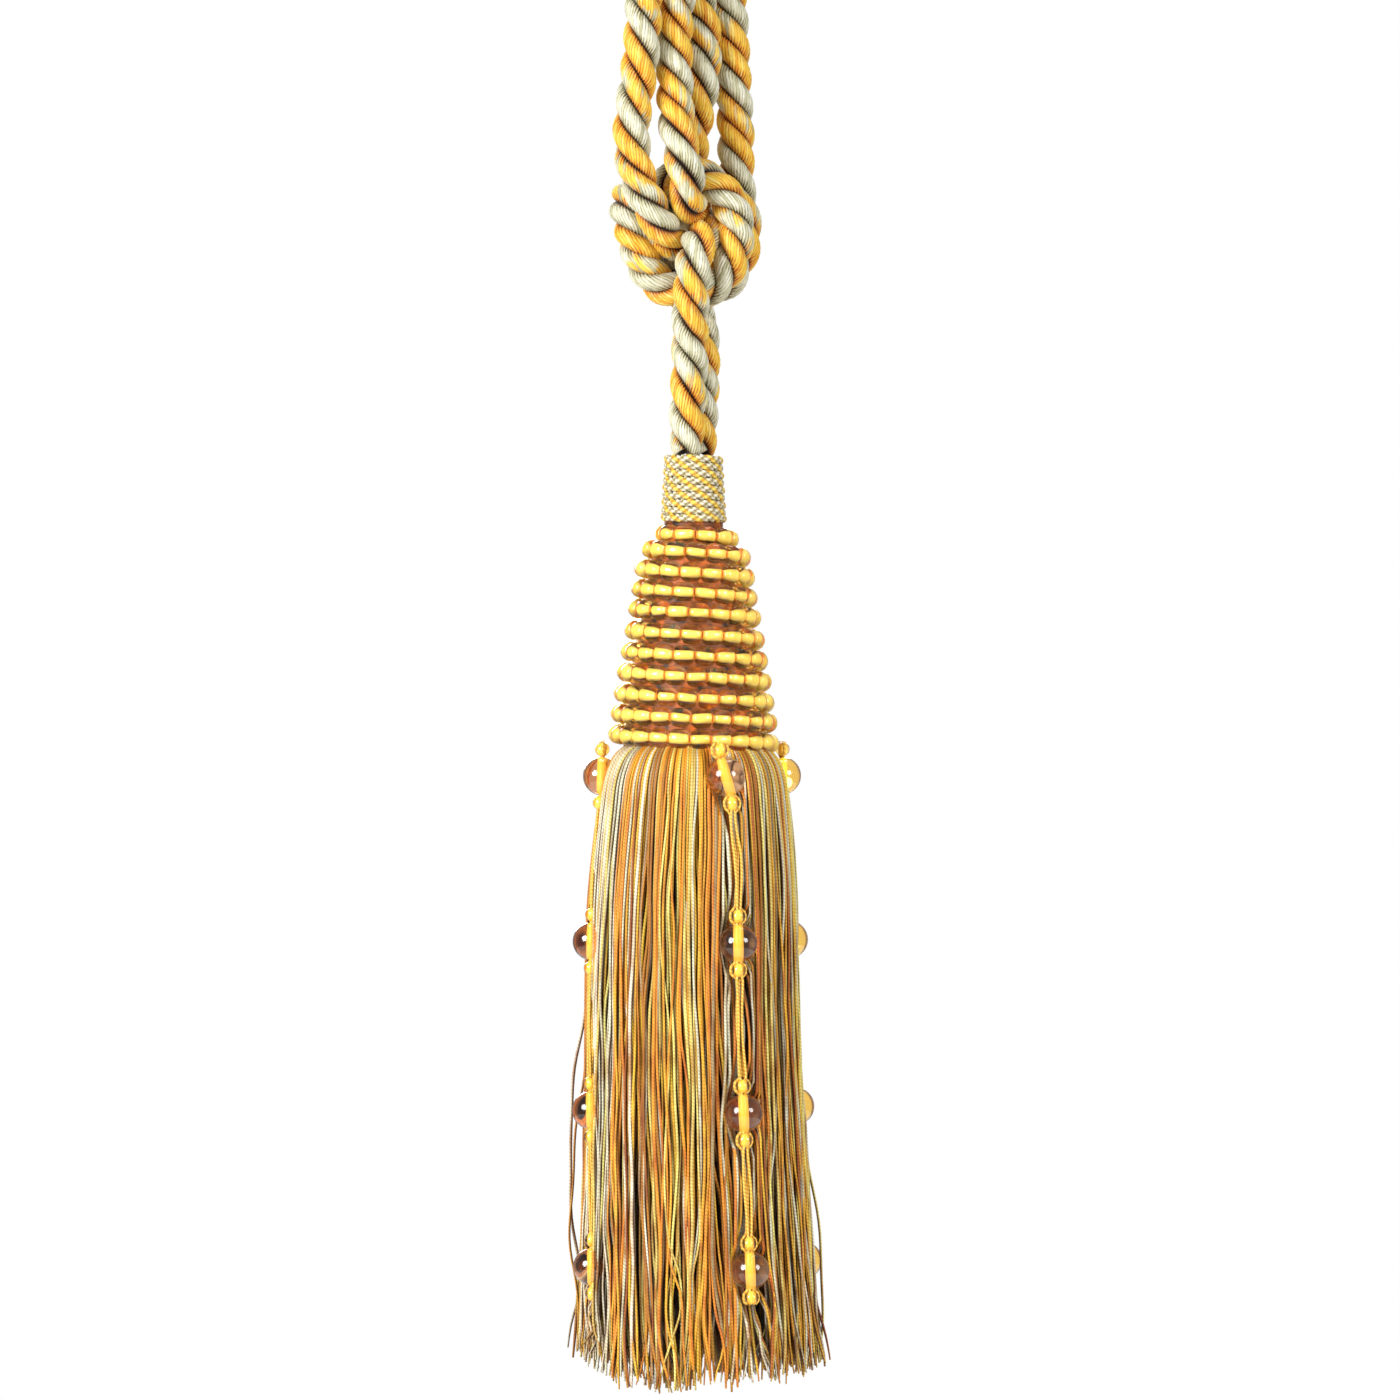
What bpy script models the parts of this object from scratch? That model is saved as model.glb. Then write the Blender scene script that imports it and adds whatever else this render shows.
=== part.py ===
"""Tassel tieback: a twisted rope in two hanging loops, knotted over a beaded tassel.

Metres, +Z up, seen from -Y. The origin is the top of the two loops, on the underside of the rope,
where the hook or the curtain's hold-back carries it. The tables give sizes in millimetres.
"""

import math
import random

import bmesh
import bpy
import numpy as np
from mathutils import Matrix, Vector

MM = 0.001

# Rope: three strands laid S, both ends bound in the neck
LAY = 28.0
ROPE_STEP = 4.5
STRAND_GOLD, STRAND_MIXED, STRAND_SILVER = 0, 1, 2
ROPE_SECTION = (1.0, 0.85, 0.64, 0.85)  # share of the rope's radius, from one strand's crown to the next

# Where the rope runs: x, y, z and its own radius, tighter where the knot squeezes it
ROUTE = [
    # up from the neck in front, into the hole of the knot
    (-2, -4.5, -196, 4.6),
    (-2, -4.5, -190, 4.8),
    (-1.5, -6, -176, 5.6),
    (-1, -7, -162, 5.7),
    (-1, -10.5, -153, 5.5),
    (-0.5, -12.5, -143.5, 5.3),
    (0.5, -11, -134, 5.1),
    (2.5, -4.5, -128.5, 4.7),
    (4.5, 4.5, -125.5, 4.6),
    # behind, round the left side
    (4.5, 13, -122.5, 4.6),
    (-1, 18.5, -119.5, 4.8),
    (-10, 19, -114, 5.0),
    (-18.5, 13, -113, 4.8),
    (-21, 4.5, -118.5, 5.1),
    # the ring in front: left, bottom, right, top
    (-19, 0, -126.5, 5.3),
    (-16, -1, -135.5, 5.3),
    (-10, -0.5, -143, 5.3),
    (-1, -0.5, -145.5, 5.3),
    (7.5, -1.5, -142, 5.3),
    (12.5, -2.5, -133.5, 5.2),
    (13.5, -2.5, -124.5, 5.2),
    (10.5, -2, -115.5, 5.2),
    (3, -2, -109, 5.0),
    (-6.5, 1, -109.5, 4.7),
    # behind the ring: left, bottom, out to the right
    (-10, 6, -116, 4.6),
    (-12, 11.5, -123.5, 4.8),
    (-13.5, 12, -132.5, 4.9),
    (-9.5, 11, -141, 5.0),
    (-1, 10, -144, 5.0),
    (8.5, 10, -142.5, 5.2),
    (14, 9.5, -135, 5.4),
    (16, 9.5, -125.5, 5.4),
    (14.5, 10.5, -116.5, 5.4),
    (13.5, 12.5, -107, 5.7),
    # up the rearmost leg
    (13.5, 13.5, -97.5, 5.9),
    (12.5, 12.5, -77.5, 6.0),
    (11.5, 13.5, -57.5, 6.0),
    (11, 12, -37.5, 6.0),
    # over the rear crown
    (12.5, 9.5, -18, 6.0),
    (12, 9, -8, 6.0),
    (8.5, 9, 1, 6.0),
    (-0.5, 9, 5.5, 6.0),
    (-8.5, 8.5, 0.5, 6.0),
    (-12.5, 8.5, -8.5, 6.0),
    # down the third leg, behind the top of the ring
    (-12, 8, -18.5, 6.0),
    (-8, 7, -27.5, 6.0),
    (-0.5, 6, -46, 6.0),
    (3, 4.5, -65.5, 6.0),
    (0.8, 6, -88.5, 5.7),
    (-0.8, 9.5, -105, 5.0),
    # forward through the hole and up the second leg
    (0.5, 8, -113, 4.5),
    (-0.5, 1.5, -117.5, 4.5),
    (-1.5, -7, -117.5, 4.7),
    (-2, -12, -111.5, 5.5),
    (-3.5, -12, -103, 5.8),
    (-5, -9.5, -94.5, 5.9),
    (-6, -5.5, -75, 6.0),
    (-5.5, -5.5, -55.5, 6.0),
    (0, -7.5, -36.5, 6.0),
    (5.5, -8, -27.5, 6.0),
    # over the front crown
    (10.5, -8.5, -18.5, 6.0),
    (12, -9, -8, 6.0),
    (8, -9, 1.5, 6.0),
    (-1, -9, 5.5, 6.0),
    (-9.5, -9.5, -0.5, 6.0),
    (-13, -10, -10, 6.0),
    # down the first leg, into the hole
    (-14, -10.5, -20.5, 6.0),
    (-14.5, -11, -31, 6.0),
    (-15.5, -12.5, -53, 6.0),
    (-17, -12, -75, 6.0),
    (-19.5, -12, -96.5, 5.9),
    (-18.5, -12.5, -106, 5.7),
    (-15.5, -12, -115, 5.5),
    (-11.5, -9.5, -122.5, 5.0),
    (-8, -2.5, -128, 4.6),
    (-5, 5.5, -131.5, 4.6),
    # behind the foot of the ring and down to the neck
    (-2, 14.5, -134.5, 4.6),
    (-1, 20, -141, 5.0),
    (0.5, 19, -150, 5.3),
    (2, 12.5, -156.5, 5.5),
    (2.5, 6.5, -170.5, 5.6),
    (2, 5, -184, 5.1),
    (2, 4.5, -196, 4.6),
]

# Which strand faces the viewer: the row of the route just before, the height z, the strand
FACING = [
    (1, -181.7, STRAND_GOLD),
    (4, -151.4, STRAND_GOLD),
    (13, -123.9, STRAND_SILVER),
    (15, -142.2, STRAND_SILVER),
    (19, -131.8, STRAND_GOLD),
    (21, -110.3, STRAND_GOLD),
    (33, -105.6, STRAND_SILVER),
    (36, -52.2, STRAND_SILVER),
    (46, -54.7, STRAND_GOLD),
    (48, -101.8, STRAND_SILVER),
    (52, -112.2, STRAND_MIXED),
    (55, -90.7, STRAND_GOLD),
    (56, -63.9, STRAND_GOLD),
    (68, -62.6, STRAND_SILVER),
    (69, -92.0, STRAND_SILVER),
    (72, -120.4, STRAND_SILVER),
    (79, -161.5, STRAND_GOLD),
    (81, -186.2, STRAND_GOLD),
]

# Neck winding
NECK_TOP = -196.6
NECK_FOOT = -218.0
NECK_ROWS = 9
NECK_RADIUS_TOP = 9.3
NECK_RADIUS_FOOT = 10.4
NECK_GROOVE = 0.45
NECK_STEPS = 18

# Bead winding: turn, height and radius of the string where it passes the front
BEAD_ROWS = [
    (0.7, -221.4, 9.4),
    (1, -221.9, 10.6),
    (2, -227.5, 15.1),
    (3, -233.9, 16.4),
    (4, -240.2, 17.3),
    (5, -246.5, 18.4),
    (6, -253.5, 19.5),
    (7, -260.1, 20.5),
    (8, -266.7, 21.7),
    (9, -273.4, 22.6),
    (10, -279.7, 23.5),
    (11, -286.3, 24.2),
    (12, -292.8, 24.8),
]
BEAD_WINDING_TURNS = (0.7, 11.25)
BEAD_LENGTH = 6.5
BEAD_RADIUS = 3.0
BEAD_WAIST = 1.3
BEAD_SIDES = 4

# Head under the beads, with the rim that holds the skirt
HEAD_TOP = -218.3
HEAD_TOP_RADIUS = 5.2
RIM_TOP = -291.3
RIM_FOOT = -293.8
RIM_RADIUS = 20.6
HEAD_STEPS = 24
HEAD_CLEARANCE = 0.95

# Skirt: height, outer radius, how far its middle hangs to the right, how far out the drops hang
SKIRT = [
    (-289.0, 19.5, 0.4, 29.3),
    (-292.6, 20.5, 0.4, 29.1),
    (-294.6, 26.4, 0.4, 28.8),
    (-298.5, 28.9, 0.3, 28.5),
    (-305.6, 30.3, 0.2, 29.8),
    (-329.3, 32.5, -0.2, 32.0),
    (-368.8, 33.7, -0.6, 33.2),
    (-424.0, 35.6, 0.6, 35.1),
    (-485.7, 38.2, 1.6, 37.7),
]
SKIRT_HEM = -488.5
HEM_UNEVEN = 3.0
LOCK_ROOT = -292.6
LOCK_DEPTH = 1.15
LOCK_FILL = 0.84  # share of the room round the skirt that a ring of locks fills
LOCK_STOPS = (0, 0.01, 0.03, 0.07, 0.19, 0.4, 0.68, 1)
INNER_LOCK_STOPS = (0, 0.1, 0.4, 1)
LOCK_RINGS = [
    # locks in the ring, share of the skirt's radius, stops along a lock
    (56, 1.0, LOCK_STOPS),
    (34, 0.6, INNER_LOCK_STOPS),
    (16, 0.3, INNER_LOCK_STOPS),
]
WAVE = 0.8

# Bead drops: name, azimuth from the front at the top, below the shoulder and at the foot, in degrees
DROPS = [
    ("drop_1", 17, 26, 27.8),
    ("drop_2", 108, 109, 112),
    ("drop_3", 195, 196, 199),
    ("drop_4", 268, 281, 299),
]
DROP_TOP = -287.3
DROP_BELOW_SHOULDER = -322.0
BIG_BEAD_HEIGHTS = (-298.0, -350.0, -403.0, -452.0)
BIG_BEAD_RADIUS = 6.0
BIG_BEAD_BORE = 1.75
BIG_BEAD_HALF = 5.7
BIG_BEAD_STEPS = 9
BIG_BEAD_PROFILE = ((4.6, 3.9), (6.0, 0.0), (4.6, -3.9))
SMALL_BEAD_RADIUS = 2.35
SMALL_BEAD_OFFSET = 8.4
SMALL_BEAD_HALF = 2.1
DROP_THREAD_RADIUS = 1.2
DROP_SIDES = 5
FURROW_FLOOR = 7.6  # half width of the furrow in which a drop lies
FURROW_EDGE = 13.0


def clear_scene():
    for thing in list(bpy.data.objects):
        bpy.data.objects.remove(thing, do_unlink=True)
    for collection in list(bpy.data.collections):
        bpy.data.collections.remove(collection)


def new_collection(name, helper=False):
    collection = bpy.data.collections.new(name)
    collection.hide_render = helper
    bpy.context.scene.collection.children.link(collection)
    return collection


def material(name, colour, roughness, metallic=0.0):
    made = bpy.data.materials.new(name)
    made.use_nodes = True
    shader = made.node_tree.nodes["Principled BSDF"]
    shader.inputs["Base Color"].default_value = (*colour, 1.0)
    shader.inputs["Roughness"].default_value = roughness
    shader.inputs["Metallic"].default_value = metallic
    return made


def add_object(name, mesh, surface, collection):
    made = bpy.data.objects.new(name, mesh)
    made.data.materials.append(surface)
    collection.objects.link(made)
    return made


def loft(name, rings):
    """A closed mesh through rings of equally many points, in millimetres, with flat ends."""
    shape = bmesh.new()
    rows = [[shape.verts.new(Vector(point) * MM) for point in ring] for ring in rings]
    sides = len(rows[0])
    for low, high in zip(rows, rows[1:]):
        for i in range(sides):
            j = (i + 1) % sides
            shape.faces.new((low[i], low[j], high[j], high[i]))
    shape.faces.new(reversed(rows[0]))
    shape.faces.new(rows[-1])
    bmesh.ops.recalc_face_normals(shape, faces=shape.faces)
    mesh = bpy.data.meshes.new(name)
    shape.to_mesh(mesh)
    shape.free()
    mesh.shade_smooth()
    return mesh


def turned(name, profile, steps, surface, collection, closed=False):
    """A body turned round Z from (radius, height) points that run down its outer side."""
    shape = bmesh.new()
    points = [shape.verts.new((radius * MM, 0, height * MM)) for radius, height in profile]
    for low, high in zip(points, points[1:]):
        shape.edges.new((low, high))
    if closed:
        shape.edges.new((points[-1], points[0]))
    mesh = bpy.data.meshes.new(name)
    shape.to_mesh(mesh)
    shape.free()
    made = add_object(name, mesh, surface, collection)
    screw = made.modifiers.new("Turned", "SCREW")
    screw.steps = steps
    screw.render_steps = steps
    screw.use_merge_vertices = True
    screw.merge_threshold = 1e-5
    screw.use_smooth_shade = True
    return made


def smooth_curve(rows, spacing):
    """Samples of the natural cubic spline through the rows, and where the rows lie along it."""
    rows = np.asarray(rows, float)
    knots = np.r_[0, np.cumsum(np.linalg.norm(np.diff(rows[:, :3], axis=0), axis=1))]
    room = np.diff(knots)
    count = len(knots)
    system = np.eye(count)
    right = np.zeros(rows.shape)
    for i in range(1, count - 1):
        system[i, i - 1 : i + 2] = room[i - 1], 2 * (room[i - 1] + room[i]), room[i]
        right[i] = 6 * ((rows[i + 1] - rows[i]) / room[i] - (rows[i] - rows[i - 1]) / room[i - 1])
    bend = np.linalg.solve(system, right)
    at = np.linspace(0, knots[-1], int(knots[-1] / spacing) + 1)
    i = np.clip(np.searchsorted(knots, at, side="right") - 1, 0, count - 2)
    h = room[i][:, None]
    a = (knots[i + 1] - at)[:, None]
    b = (at - knots[i])[:, None]
    points = (
        (bend[i] * a**3 + bend[i + 1] * b**3) / (6 * h)
        + (rows[i] / h - bend[i] * h / 6) * a
        + (rows[i + 1] / h - bend[i + 1] * h / 6) * b
    )
    length = np.r_[0, np.cumsum(np.linalg.norm(np.diff(points[:, :3], axis=0), axis=1))]
    return points, length, np.interp(knots, at, length)


def carried_frames(points):
    """Tangents with a normal and a binormal that are carried along without turning."""
    tangents = np.gradient(points, axis=0)
    tangents /= np.linalg.norm(tangents, axis=1)[:, None]
    normal = np.cross(tangents[0], (0.0, 1.0, 0.0))
    normals = []
    for tangent in tangents:
        normal = normal - tangent * (normal @ tangent)
        normal = normal / np.linalg.norm(normal)
        normals.append(normal)
    normals = np.array(normals)
    return tangents, normals, np.cross(tangents, normals)


def strand_turns(points, length, row_at, normals, binormals):
    """Turns of the gold strand along the rope, so that each strand in FACING faces the viewer there.

    An S lay turns backwards round its own direction, with gold, mixed and silver in that order."""
    places, turns = [], []
    for row, height, strand in FACING:
        here = np.flatnonzero((length >= row_at[row]) & (length <= row_at[row + 1]))
        sample = here[np.argmin(abs(points[here, 2] - height))]
        front = math.atan2(-binormals[sample, 1], -normals[sample, 1]) / (2 * math.pi)
        turn = front - strand / 3
        if places:
            wanted = turns[-1] - (length[sample] - places[-1]) / LAY
            turn += round(wanted - turn)
        places.append(length[sample])
        turns.append(turn)
    before = turns[0] + places[0] / LAY
    after = turns[-1] - (length[-1] - places[-1]) / LAY
    return np.interp(length, [0, *places, length[-1]], [before, *turns, after])


def rope_rings():
    """Sections of the laid rope, equally spaced, each with a strand's crown every third of a turn."""
    points, length, row_at = smooth_curve(ROUTE, 0.5)
    _, normals, binormals = carried_frames(points[:, :3])
    turns = strand_turns(points, length, row_at, normals, binormals)
    count = round(length[-1] / ROPE_STEP)
    rings = []
    for distance in np.linspace(0, length[-1], count + 1):
        i = int(np.argmin(abs(length - distance)))
        ring = []
        for side in range(3 * len(ROPE_SECTION)):
            angle = 2 * math.pi * (turns[i] + side / (3 * len(ROPE_SECTION)))
            reach = points[i, 3] * ROPE_SECTION[side % len(ROPE_SECTION)]
            out = math.cos(angle) * normals[i] + math.sin(angle) * binormals[i]
            ring.append(points[i, :3] + reach * out)
        rings.append(ring)
    return rings


def build_rope(collection):
    surface = material("rope_viscose_yarn", (0.72, 0.52, 0.2), 0.45)
    return add_object("rope", loft("rope", rope_rings()), surface, collection)


def build_neck(collection):
    surface = material("neck_metallic_cord", (0.8, 0.74, 0.62), 0.4)
    pitch = (NECK_TOP - NECK_FOOT) / NECK_ROWS
    profile = [(0, NECK_TOP)]
    for row in range(NECK_ROWS):
        radius = NECK_RADIUS_TOP + (NECK_RADIUS_FOOT - NECK_RADIUS_TOP) * row / (NECK_ROWS - 1)
        top = NECK_TOP - row * pitch
        profile.append((radius - NECK_GROOVE, top))
        profile.append((radius, top - pitch / 2))
    profile.append((NECK_RADIUS_FOOT - NECK_GROOVE, NECK_FOOT))
    profile.append((0, NECK_FOOT))
    return turned("neck_winding", profile, NECK_STEPS, surface, collection)


def around(azimuth, radius, height, middle=0.0):
    """A point at this azimuth from the front, to the right, round an axis moved right by middle."""
    angle = math.radians(azimuth)
    return np.array((middle + radius * math.sin(angle), -radius * math.cos(angle), height))


def bead_string_place(turn):
    rows = np.array(BEAD_ROWS)
    height = np.interp(turn, rows[:, 0], rows[:, 1])
    radius = np.interp(turn, rows[:, 0], rows[:, 2])
    return height, radius


def head_outward(turn):
    """The direction, as radius and height, that points squarely out of the head at this turn."""
    high, narrow = bead_string_place(turn - 0.5)
    low, wide = bead_string_place(turn + 0.5)
    size = math.hypot(high - low, wide - narrow)
    return (high - low) / size, (wide - narrow) / size


def build_bead_winding(collection):
    surface = material("bead_lined_glass", (0.85, 0.6, 0.2), 0.15)
    first, last = BEAD_WINDING_TURNS
    fine = np.linspace(first, last, 2000)
    track = []
    for turn in fine:
        height, radius = bead_string_place(turn)
        track.append(around(360 * turn, radius, height))
    run = np.r_[0, np.cumsum(np.linalg.norm(np.diff(track, axis=0), axis=1))]
    beads = int(run[-1] / BEAD_LENGTH)
    rings = []
    for half in range(2 * beads + 1):
        turn = float(np.interp(half * BEAD_LENGTH / 2, run, fine))
        height, radius = bead_string_place(turn)
        out_across, out_up = head_outward(turn)
        swell = BEAD_RADIUS if half % 2 else BEAD_WAIST
        ring = []
        for side in range(BEAD_SIDES):
            angle = 2 * math.pi * side / BEAD_SIDES
            across = math.cos(angle) * out_across - math.sin(angle) * out_up
            up = math.cos(angle) * out_up + math.sin(angle) * out_across
            ring.append(around(360 * turn, radius + swell * across, height + swell * up))
        rings.append(ring)
    return add_object("bead_winding", loft("bead_winding", rings), surface, collection)


def skirt_at(height):
    """The skirt's outer radius, its middle and the drops' distance from that middle, at this height."""
    rows = np.array(SKIRT)[::-1]
    return [np.interp(height, rows[:, 0], rows[:, column]) for column in (1, 2, 3)]


def drop_azimuth(drop, height):
    _, top, below, foot = drop
    return np.interp(height, (SKIRT_HEM, DROP_BELOW_SHOULDER, DROP_TOP), (foot, below, top))


def drop_place(drop, height):
    _, middle, out = skirt_at(height)
    return around(drop_azimuth(drop, height), out, height, middle)


def furrow_share(azimuth, radius, height):
    """How much of its furrow's depth a lock takes here: all of it behind a drop, none well beside it."""
    nearest = 180.0
    for drop in DROPS:
        turn = math.radians(azimuth - drop_azimuth(drop, height))
        nearest = min(nearest, radius * abs(math.atan2(math.sin(turn), math.cos(turn))))
    share = min(1.0, max(0.0, (FURROW_EDGE - nearest) / (FURROW_EDGE - FURROW_FLOOR)))
    return share * share * (3 - 2 * share)


def lock_rings(azimuth, share, stops, pitch, hem):
    """Three-sided sections of one lock of the skirt, from its root in the rim to the hem."""
    rings = []
    for stop in stops:
        height = LOCK_ROOT + (hem - LOCK_ROOT) * stop
        outer, middle, drop_out = skirt_at(height)
        sway = WAVE * stop * math.sin(math.radians(3 * azimuth) + 5 * stop)
        turned_to = azimuth + math.degrees(sway / outer)
        radius = outer - LOCK_DEPTH
        if share == 1.0:
            radius += 0.5 * WAVE * stop * math.sin(math.radians(6 * azimuth) + 7 * stop)
            floor = drop_out - BIG_BEAD_RADIUS - LOCK_DEPTH
            radius -= furrow_share(turned_to, outer, height) * max(0.0, radius - floor)
        radius *= share
        aside = LOCK_FILL * pitch / 2
        rings.append(
            [
                around(turned_to - aside, radius + 0.5 * LOCK_DEPTH, height, middle),
                around(turned_to + aside, radius + 0.5 * LOCK_DEPTH, height, middle),
                around(turned_to, radius - LOCK_DEPTH, height, middle),
            ]
        )
    return rings


def joined(name, meshes):
    shape = bmesh.new()
    for mesh in meshes:
        shape.from_mesh(mesh)
        bpy.data.meshes.remove(mesh)
    made = bpy.data.meshes.new(name)
    shape.to_mesh(made)
    shape.free()
    return made


def build_tassel_skirt(collection, helpers):
    surface = material("skirt_viscose_thread", (0.62, 0.42, 0.14), 0.5)
    clearance = BEAD_RADIUS + HEAD_CLEARANCE
    profile = [(0, HEAD_TOP), (HEAD_TOP_RADIUS, HEAD_TOP)]
    for turn in range(1, 12):
        height, radius = bead_string_place(turn)
        across, up = head_outward(turn)
        profile.append((radius - clearance * across, height - clearance * up))
    profile += [(profile[-1][0], RIM_TOP), (RIM_RADIUS, RIM_TOP), (RIM_RADIUS, RIM_FOOT), (0, RIM_FOOT)]
    head = turned("tassel_skirt", profile, HEAD_STEPS, surface, collection)
    chance = random.Random(4)
    meshes = []
    for count, share, stops in LOCK_RINGS:
        pitch = 360 / count
        for i in range(count):
            hem = SKIRT_HEM + chance.uniform(-0.3, 1.0) * HEM_UNEVEN
            rings = lock_rings((i + 0.5 * share) * pitch, share, stops, pitch, hem)
            meshes.append(loft("lock", rings))
    locks = add_object("skirt_locks", joined("skirt_locks", meshes), surface, helpers)
    locks.hide_render = True
    locks.display_type = "WIRE"
    union = head.modifiers.new("Locks fused in the rim", "BOOLEAN")
    union.operation = "UNION"
    union.object = locks
    return head


def drop_string_rings(drop):
    """Sections of a drop's thread, swelling where a small bead sits above or below a big one."""
    swells = []
    for height in BIG_BEAD_HEIGHTS:
        for middle in (height + SMALL_BEAD_OFFSET, height - SMALL_BEAD_OFFSET):
            swells.append((middle + SMALL_BEAD_HALF, DROP_THREAD_RADIUS))
            swells.append((middle, SMALL_BEAD_RADIUS))
            swells.append((middle - SMALL_BEAD_HALF, DROP_THREAD_RADIUS))
    rings = []
    for height, radius in swells:
        centre = drop_place(drop, height)
        ring = []
        for side in range(DROP_SIDES):
            angle = 2 * math.pi * side / DROP_SIDES
            ring.append(centre + radius * np.array((math.cos(angle), math.sin(angle), 0)))
        rings.append(ring)
    return rings


def build_drops(collection):
    thread = material("drop_gold_thread", (0.8, 0.55, 0.15), 0.4)
    glass = material("drop_amber_glass", (0.35, 0.12, 0.04), 0.05)
    bead_profile = [(BIG_BEAD_BORE, BIG_BEAD_HALF), *BIG_BEAD_PROFILE, (BIG_BEAD_BORE, -BIG_BEAD_HALF)]
    for drop in DROPS:
        name = drop[0]
        string = loft(name + "_string", drop_string_rings(drop))
        add_object(name + "_string", string, thread, collection)
        for count, height in enumerate(BIG_BEAD_HEIGHTS, 1):
            bead_name = f"{name}_bead_{count}"
            bead = turned(bead_name, bead_profile, BIG_BEAD_STEPS, glass, collection, closed=True)
            above = drop_place(drop, height + BIG_BEAD_HALF)
            below = drop_place(drop, height - BIG_BEAD_HALF)
            lean = Vector((0, 0, 1)).rotation_difference(Vector(above - below))
            place = Matrix.Translation(Vector((above + below) / 2) * MM)
            bead.matrix_world = place @ lean.to_matrix().to_4x4()


def main():
    clear_scene()
    tieback = new_collection("tassel_tieback")
    helpers = new_collection("tassel_tieback_helpers", helper=True)
    build_rope(tieback)
    build_neck(tieback)
    build_bead_winding(tieback)
    build_tassel_skirt(tieback, helpers)
    build_drops(tieback)


main()
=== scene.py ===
"""Looks of the tassel tieback: viscose rope, neck cord, lined glass beads, thread skirt and bead drops.

Metres, +Z up, seen from -Y. The tables give sizes in millimetres, as the maker of the part does.
"""

import math

import bpy
import numpy as np
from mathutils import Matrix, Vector


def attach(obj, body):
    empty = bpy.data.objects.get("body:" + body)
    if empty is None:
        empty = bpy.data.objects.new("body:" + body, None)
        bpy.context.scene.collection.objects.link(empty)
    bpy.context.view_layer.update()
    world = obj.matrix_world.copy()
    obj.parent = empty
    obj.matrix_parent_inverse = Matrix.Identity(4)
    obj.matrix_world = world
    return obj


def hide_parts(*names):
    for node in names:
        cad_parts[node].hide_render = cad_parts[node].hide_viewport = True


MM = 0.001
TURN = 2 * math.pi
CURVE_STEP = 0.5

# Camera: the photograph's frame is 442.4 mm wide at the tassel
PHOTO_WIDTH = 442.4
PHOTO_MIDDLE = (2.05, -274.0)
CAMERA_DISTANCE = 2.5
SENSOR = 36.0

# Rope: where it runs, x, y, z and its own radius
LAY = 28.0
ROPE_DIAMETER = 12.0
ROUTE = [
    # row 0: up from the neck in front, into the hole of the knot
    (-2, -4.5, -196, 4.6), (-2, -4.5, -190, 4.8), (-1.5, -6, -176, 5.6), (-1, -7, -162, 5.7),
    (-1, -10.5, -153, 5.5), (-0.5, -12.5, -143.5, 5.3), (0.5, -11, -134, 5.1),
    (2.5, -4.5, -128.5, 4.7), (4.5, 4.5, -125.5, 4.6),
    # row 9: behind, round the left side
    (4.5, 13, -122.5, 4.6), (-1, 18.5, -119.5, 4.8), (-10, 19, -114, 5), (-18.5, 13, -113, 4.8),
    (-21, 4.5, -118.5, 5.1),
    # row 14: the ring in front: left, bottom, right, top
    (-19, 0, -126.5, 5.3), (-16, -1, -135.5, 5.3), (-10, -0.5, -143, 5.3), (-1, -0.5, -145.5, 5.3),
    (7.5, -1.5, -142, 5.3), (12.5, -2.5, -133.5, 5.2), (13.5, -2.5, -124.5, 5.2),
    (10.5, -2, -115.5, 5.2), (3, -2, -109, 5), (-6.5, 1, -109.5, 4.7),
    # row 24: behind the ring: left, bottom, out to the right
    (-10, 6, -116, 4.6), (-12, 11.5, -123.5, 4.8), (-13.5, 12, -132.5, 4.9), (-9.5, 11, -141, 5),
    (-1, 10, -144, 5), (8.5, 10, -142.5, 5.2), (14, 9.5, -135, 5.4), (16, 9.5, -125.5, 5.4),
    (14.5, 10.5, -116.5, 5.4), (13.5, 12.5, -107, 5.7),
    # row 34: up the rearmost leg
    (13.5, 13.5, -97.5, 5.9), (12.5, 12.5, -77.5, 6), (11.5, 13.5, -57.5, 6), (11, 12, -37.5, 6),
    # row 38: over the rear crown
    (12.5, 9.5, -18, 6), (12, 9, -8, 6), (8.5, 9, 1, 6), (-0.5, 9, 5.5, 6), (-8.5, 8.5, 0.5, 6),
    (-12.5, 8.5, -8.5, 6),
    # row 44: down the third leg, behind the top of the ring
    (-12, 8, -18.5, 6), (-8, 7, -27.5, 6), (-0.5, 6, -46, 6), (3, 4.5, -65.5, 6),
    (0.8, 6, -88.5, 5.7), (-0.8, 9.5, -105, 5),
    # row 50: forward through the hole and up the second leg
    (0.5, 8, -113, 4.5), (-0.5, 1.5, -117.5, 4.5), (-1.5, -7, -117.5, 4.7), (-2, -12, -111.5, 5.5),
    (-3.5, -12, -103, 5.8), (-5, -9.5, -94.5, 5.9), (-6, -5.5, -75, 6), (-5.5, -5.5, -55.5, 6),
    (0, -7.5, -36.5, 6), (5.5, -8, -27.5, 6),
    # row 60: over the front crown
    (10.5, -8.5, -18.5, 6), (12, -9, -8, 6), (8, -9, 1.5, 6), (-1, -9, 5.5, 6),
    (-9.5, -9.5, -0.5, 6), (-13, -10, -10, 6),
    # row 66: down the first leg, into the hole
    (-14, -10.5, -20.5, 6), (-14.5, -11, -31, 6), (-15.5, -12.5, -53, 6), (-17, -12, -75, 6),
    (-19.5, -12, -96.5, 5.9), (-18.5, -12.5, -106, 5.7), (-15.5, -12, -115, 5.5),
    (-11.5, -9.5, -122.5, 5), (-8, -2.5, -128, 4.6), (-5, 5.5, -131.5, 4.6),
    # row 76: behind the foot of the ring and down to the neck
    (-2, 14.5, -134.5, 4.6), (-1, 20, -141, 5), (0.5, 19, -150, 5.3), (2, 12.5, -156.5, 5.5),
    (2.5, 6.5, -170.5, 5.6), (2, 5, -184, 5.1), (2, 4.5, -196, 4.6),
]

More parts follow.
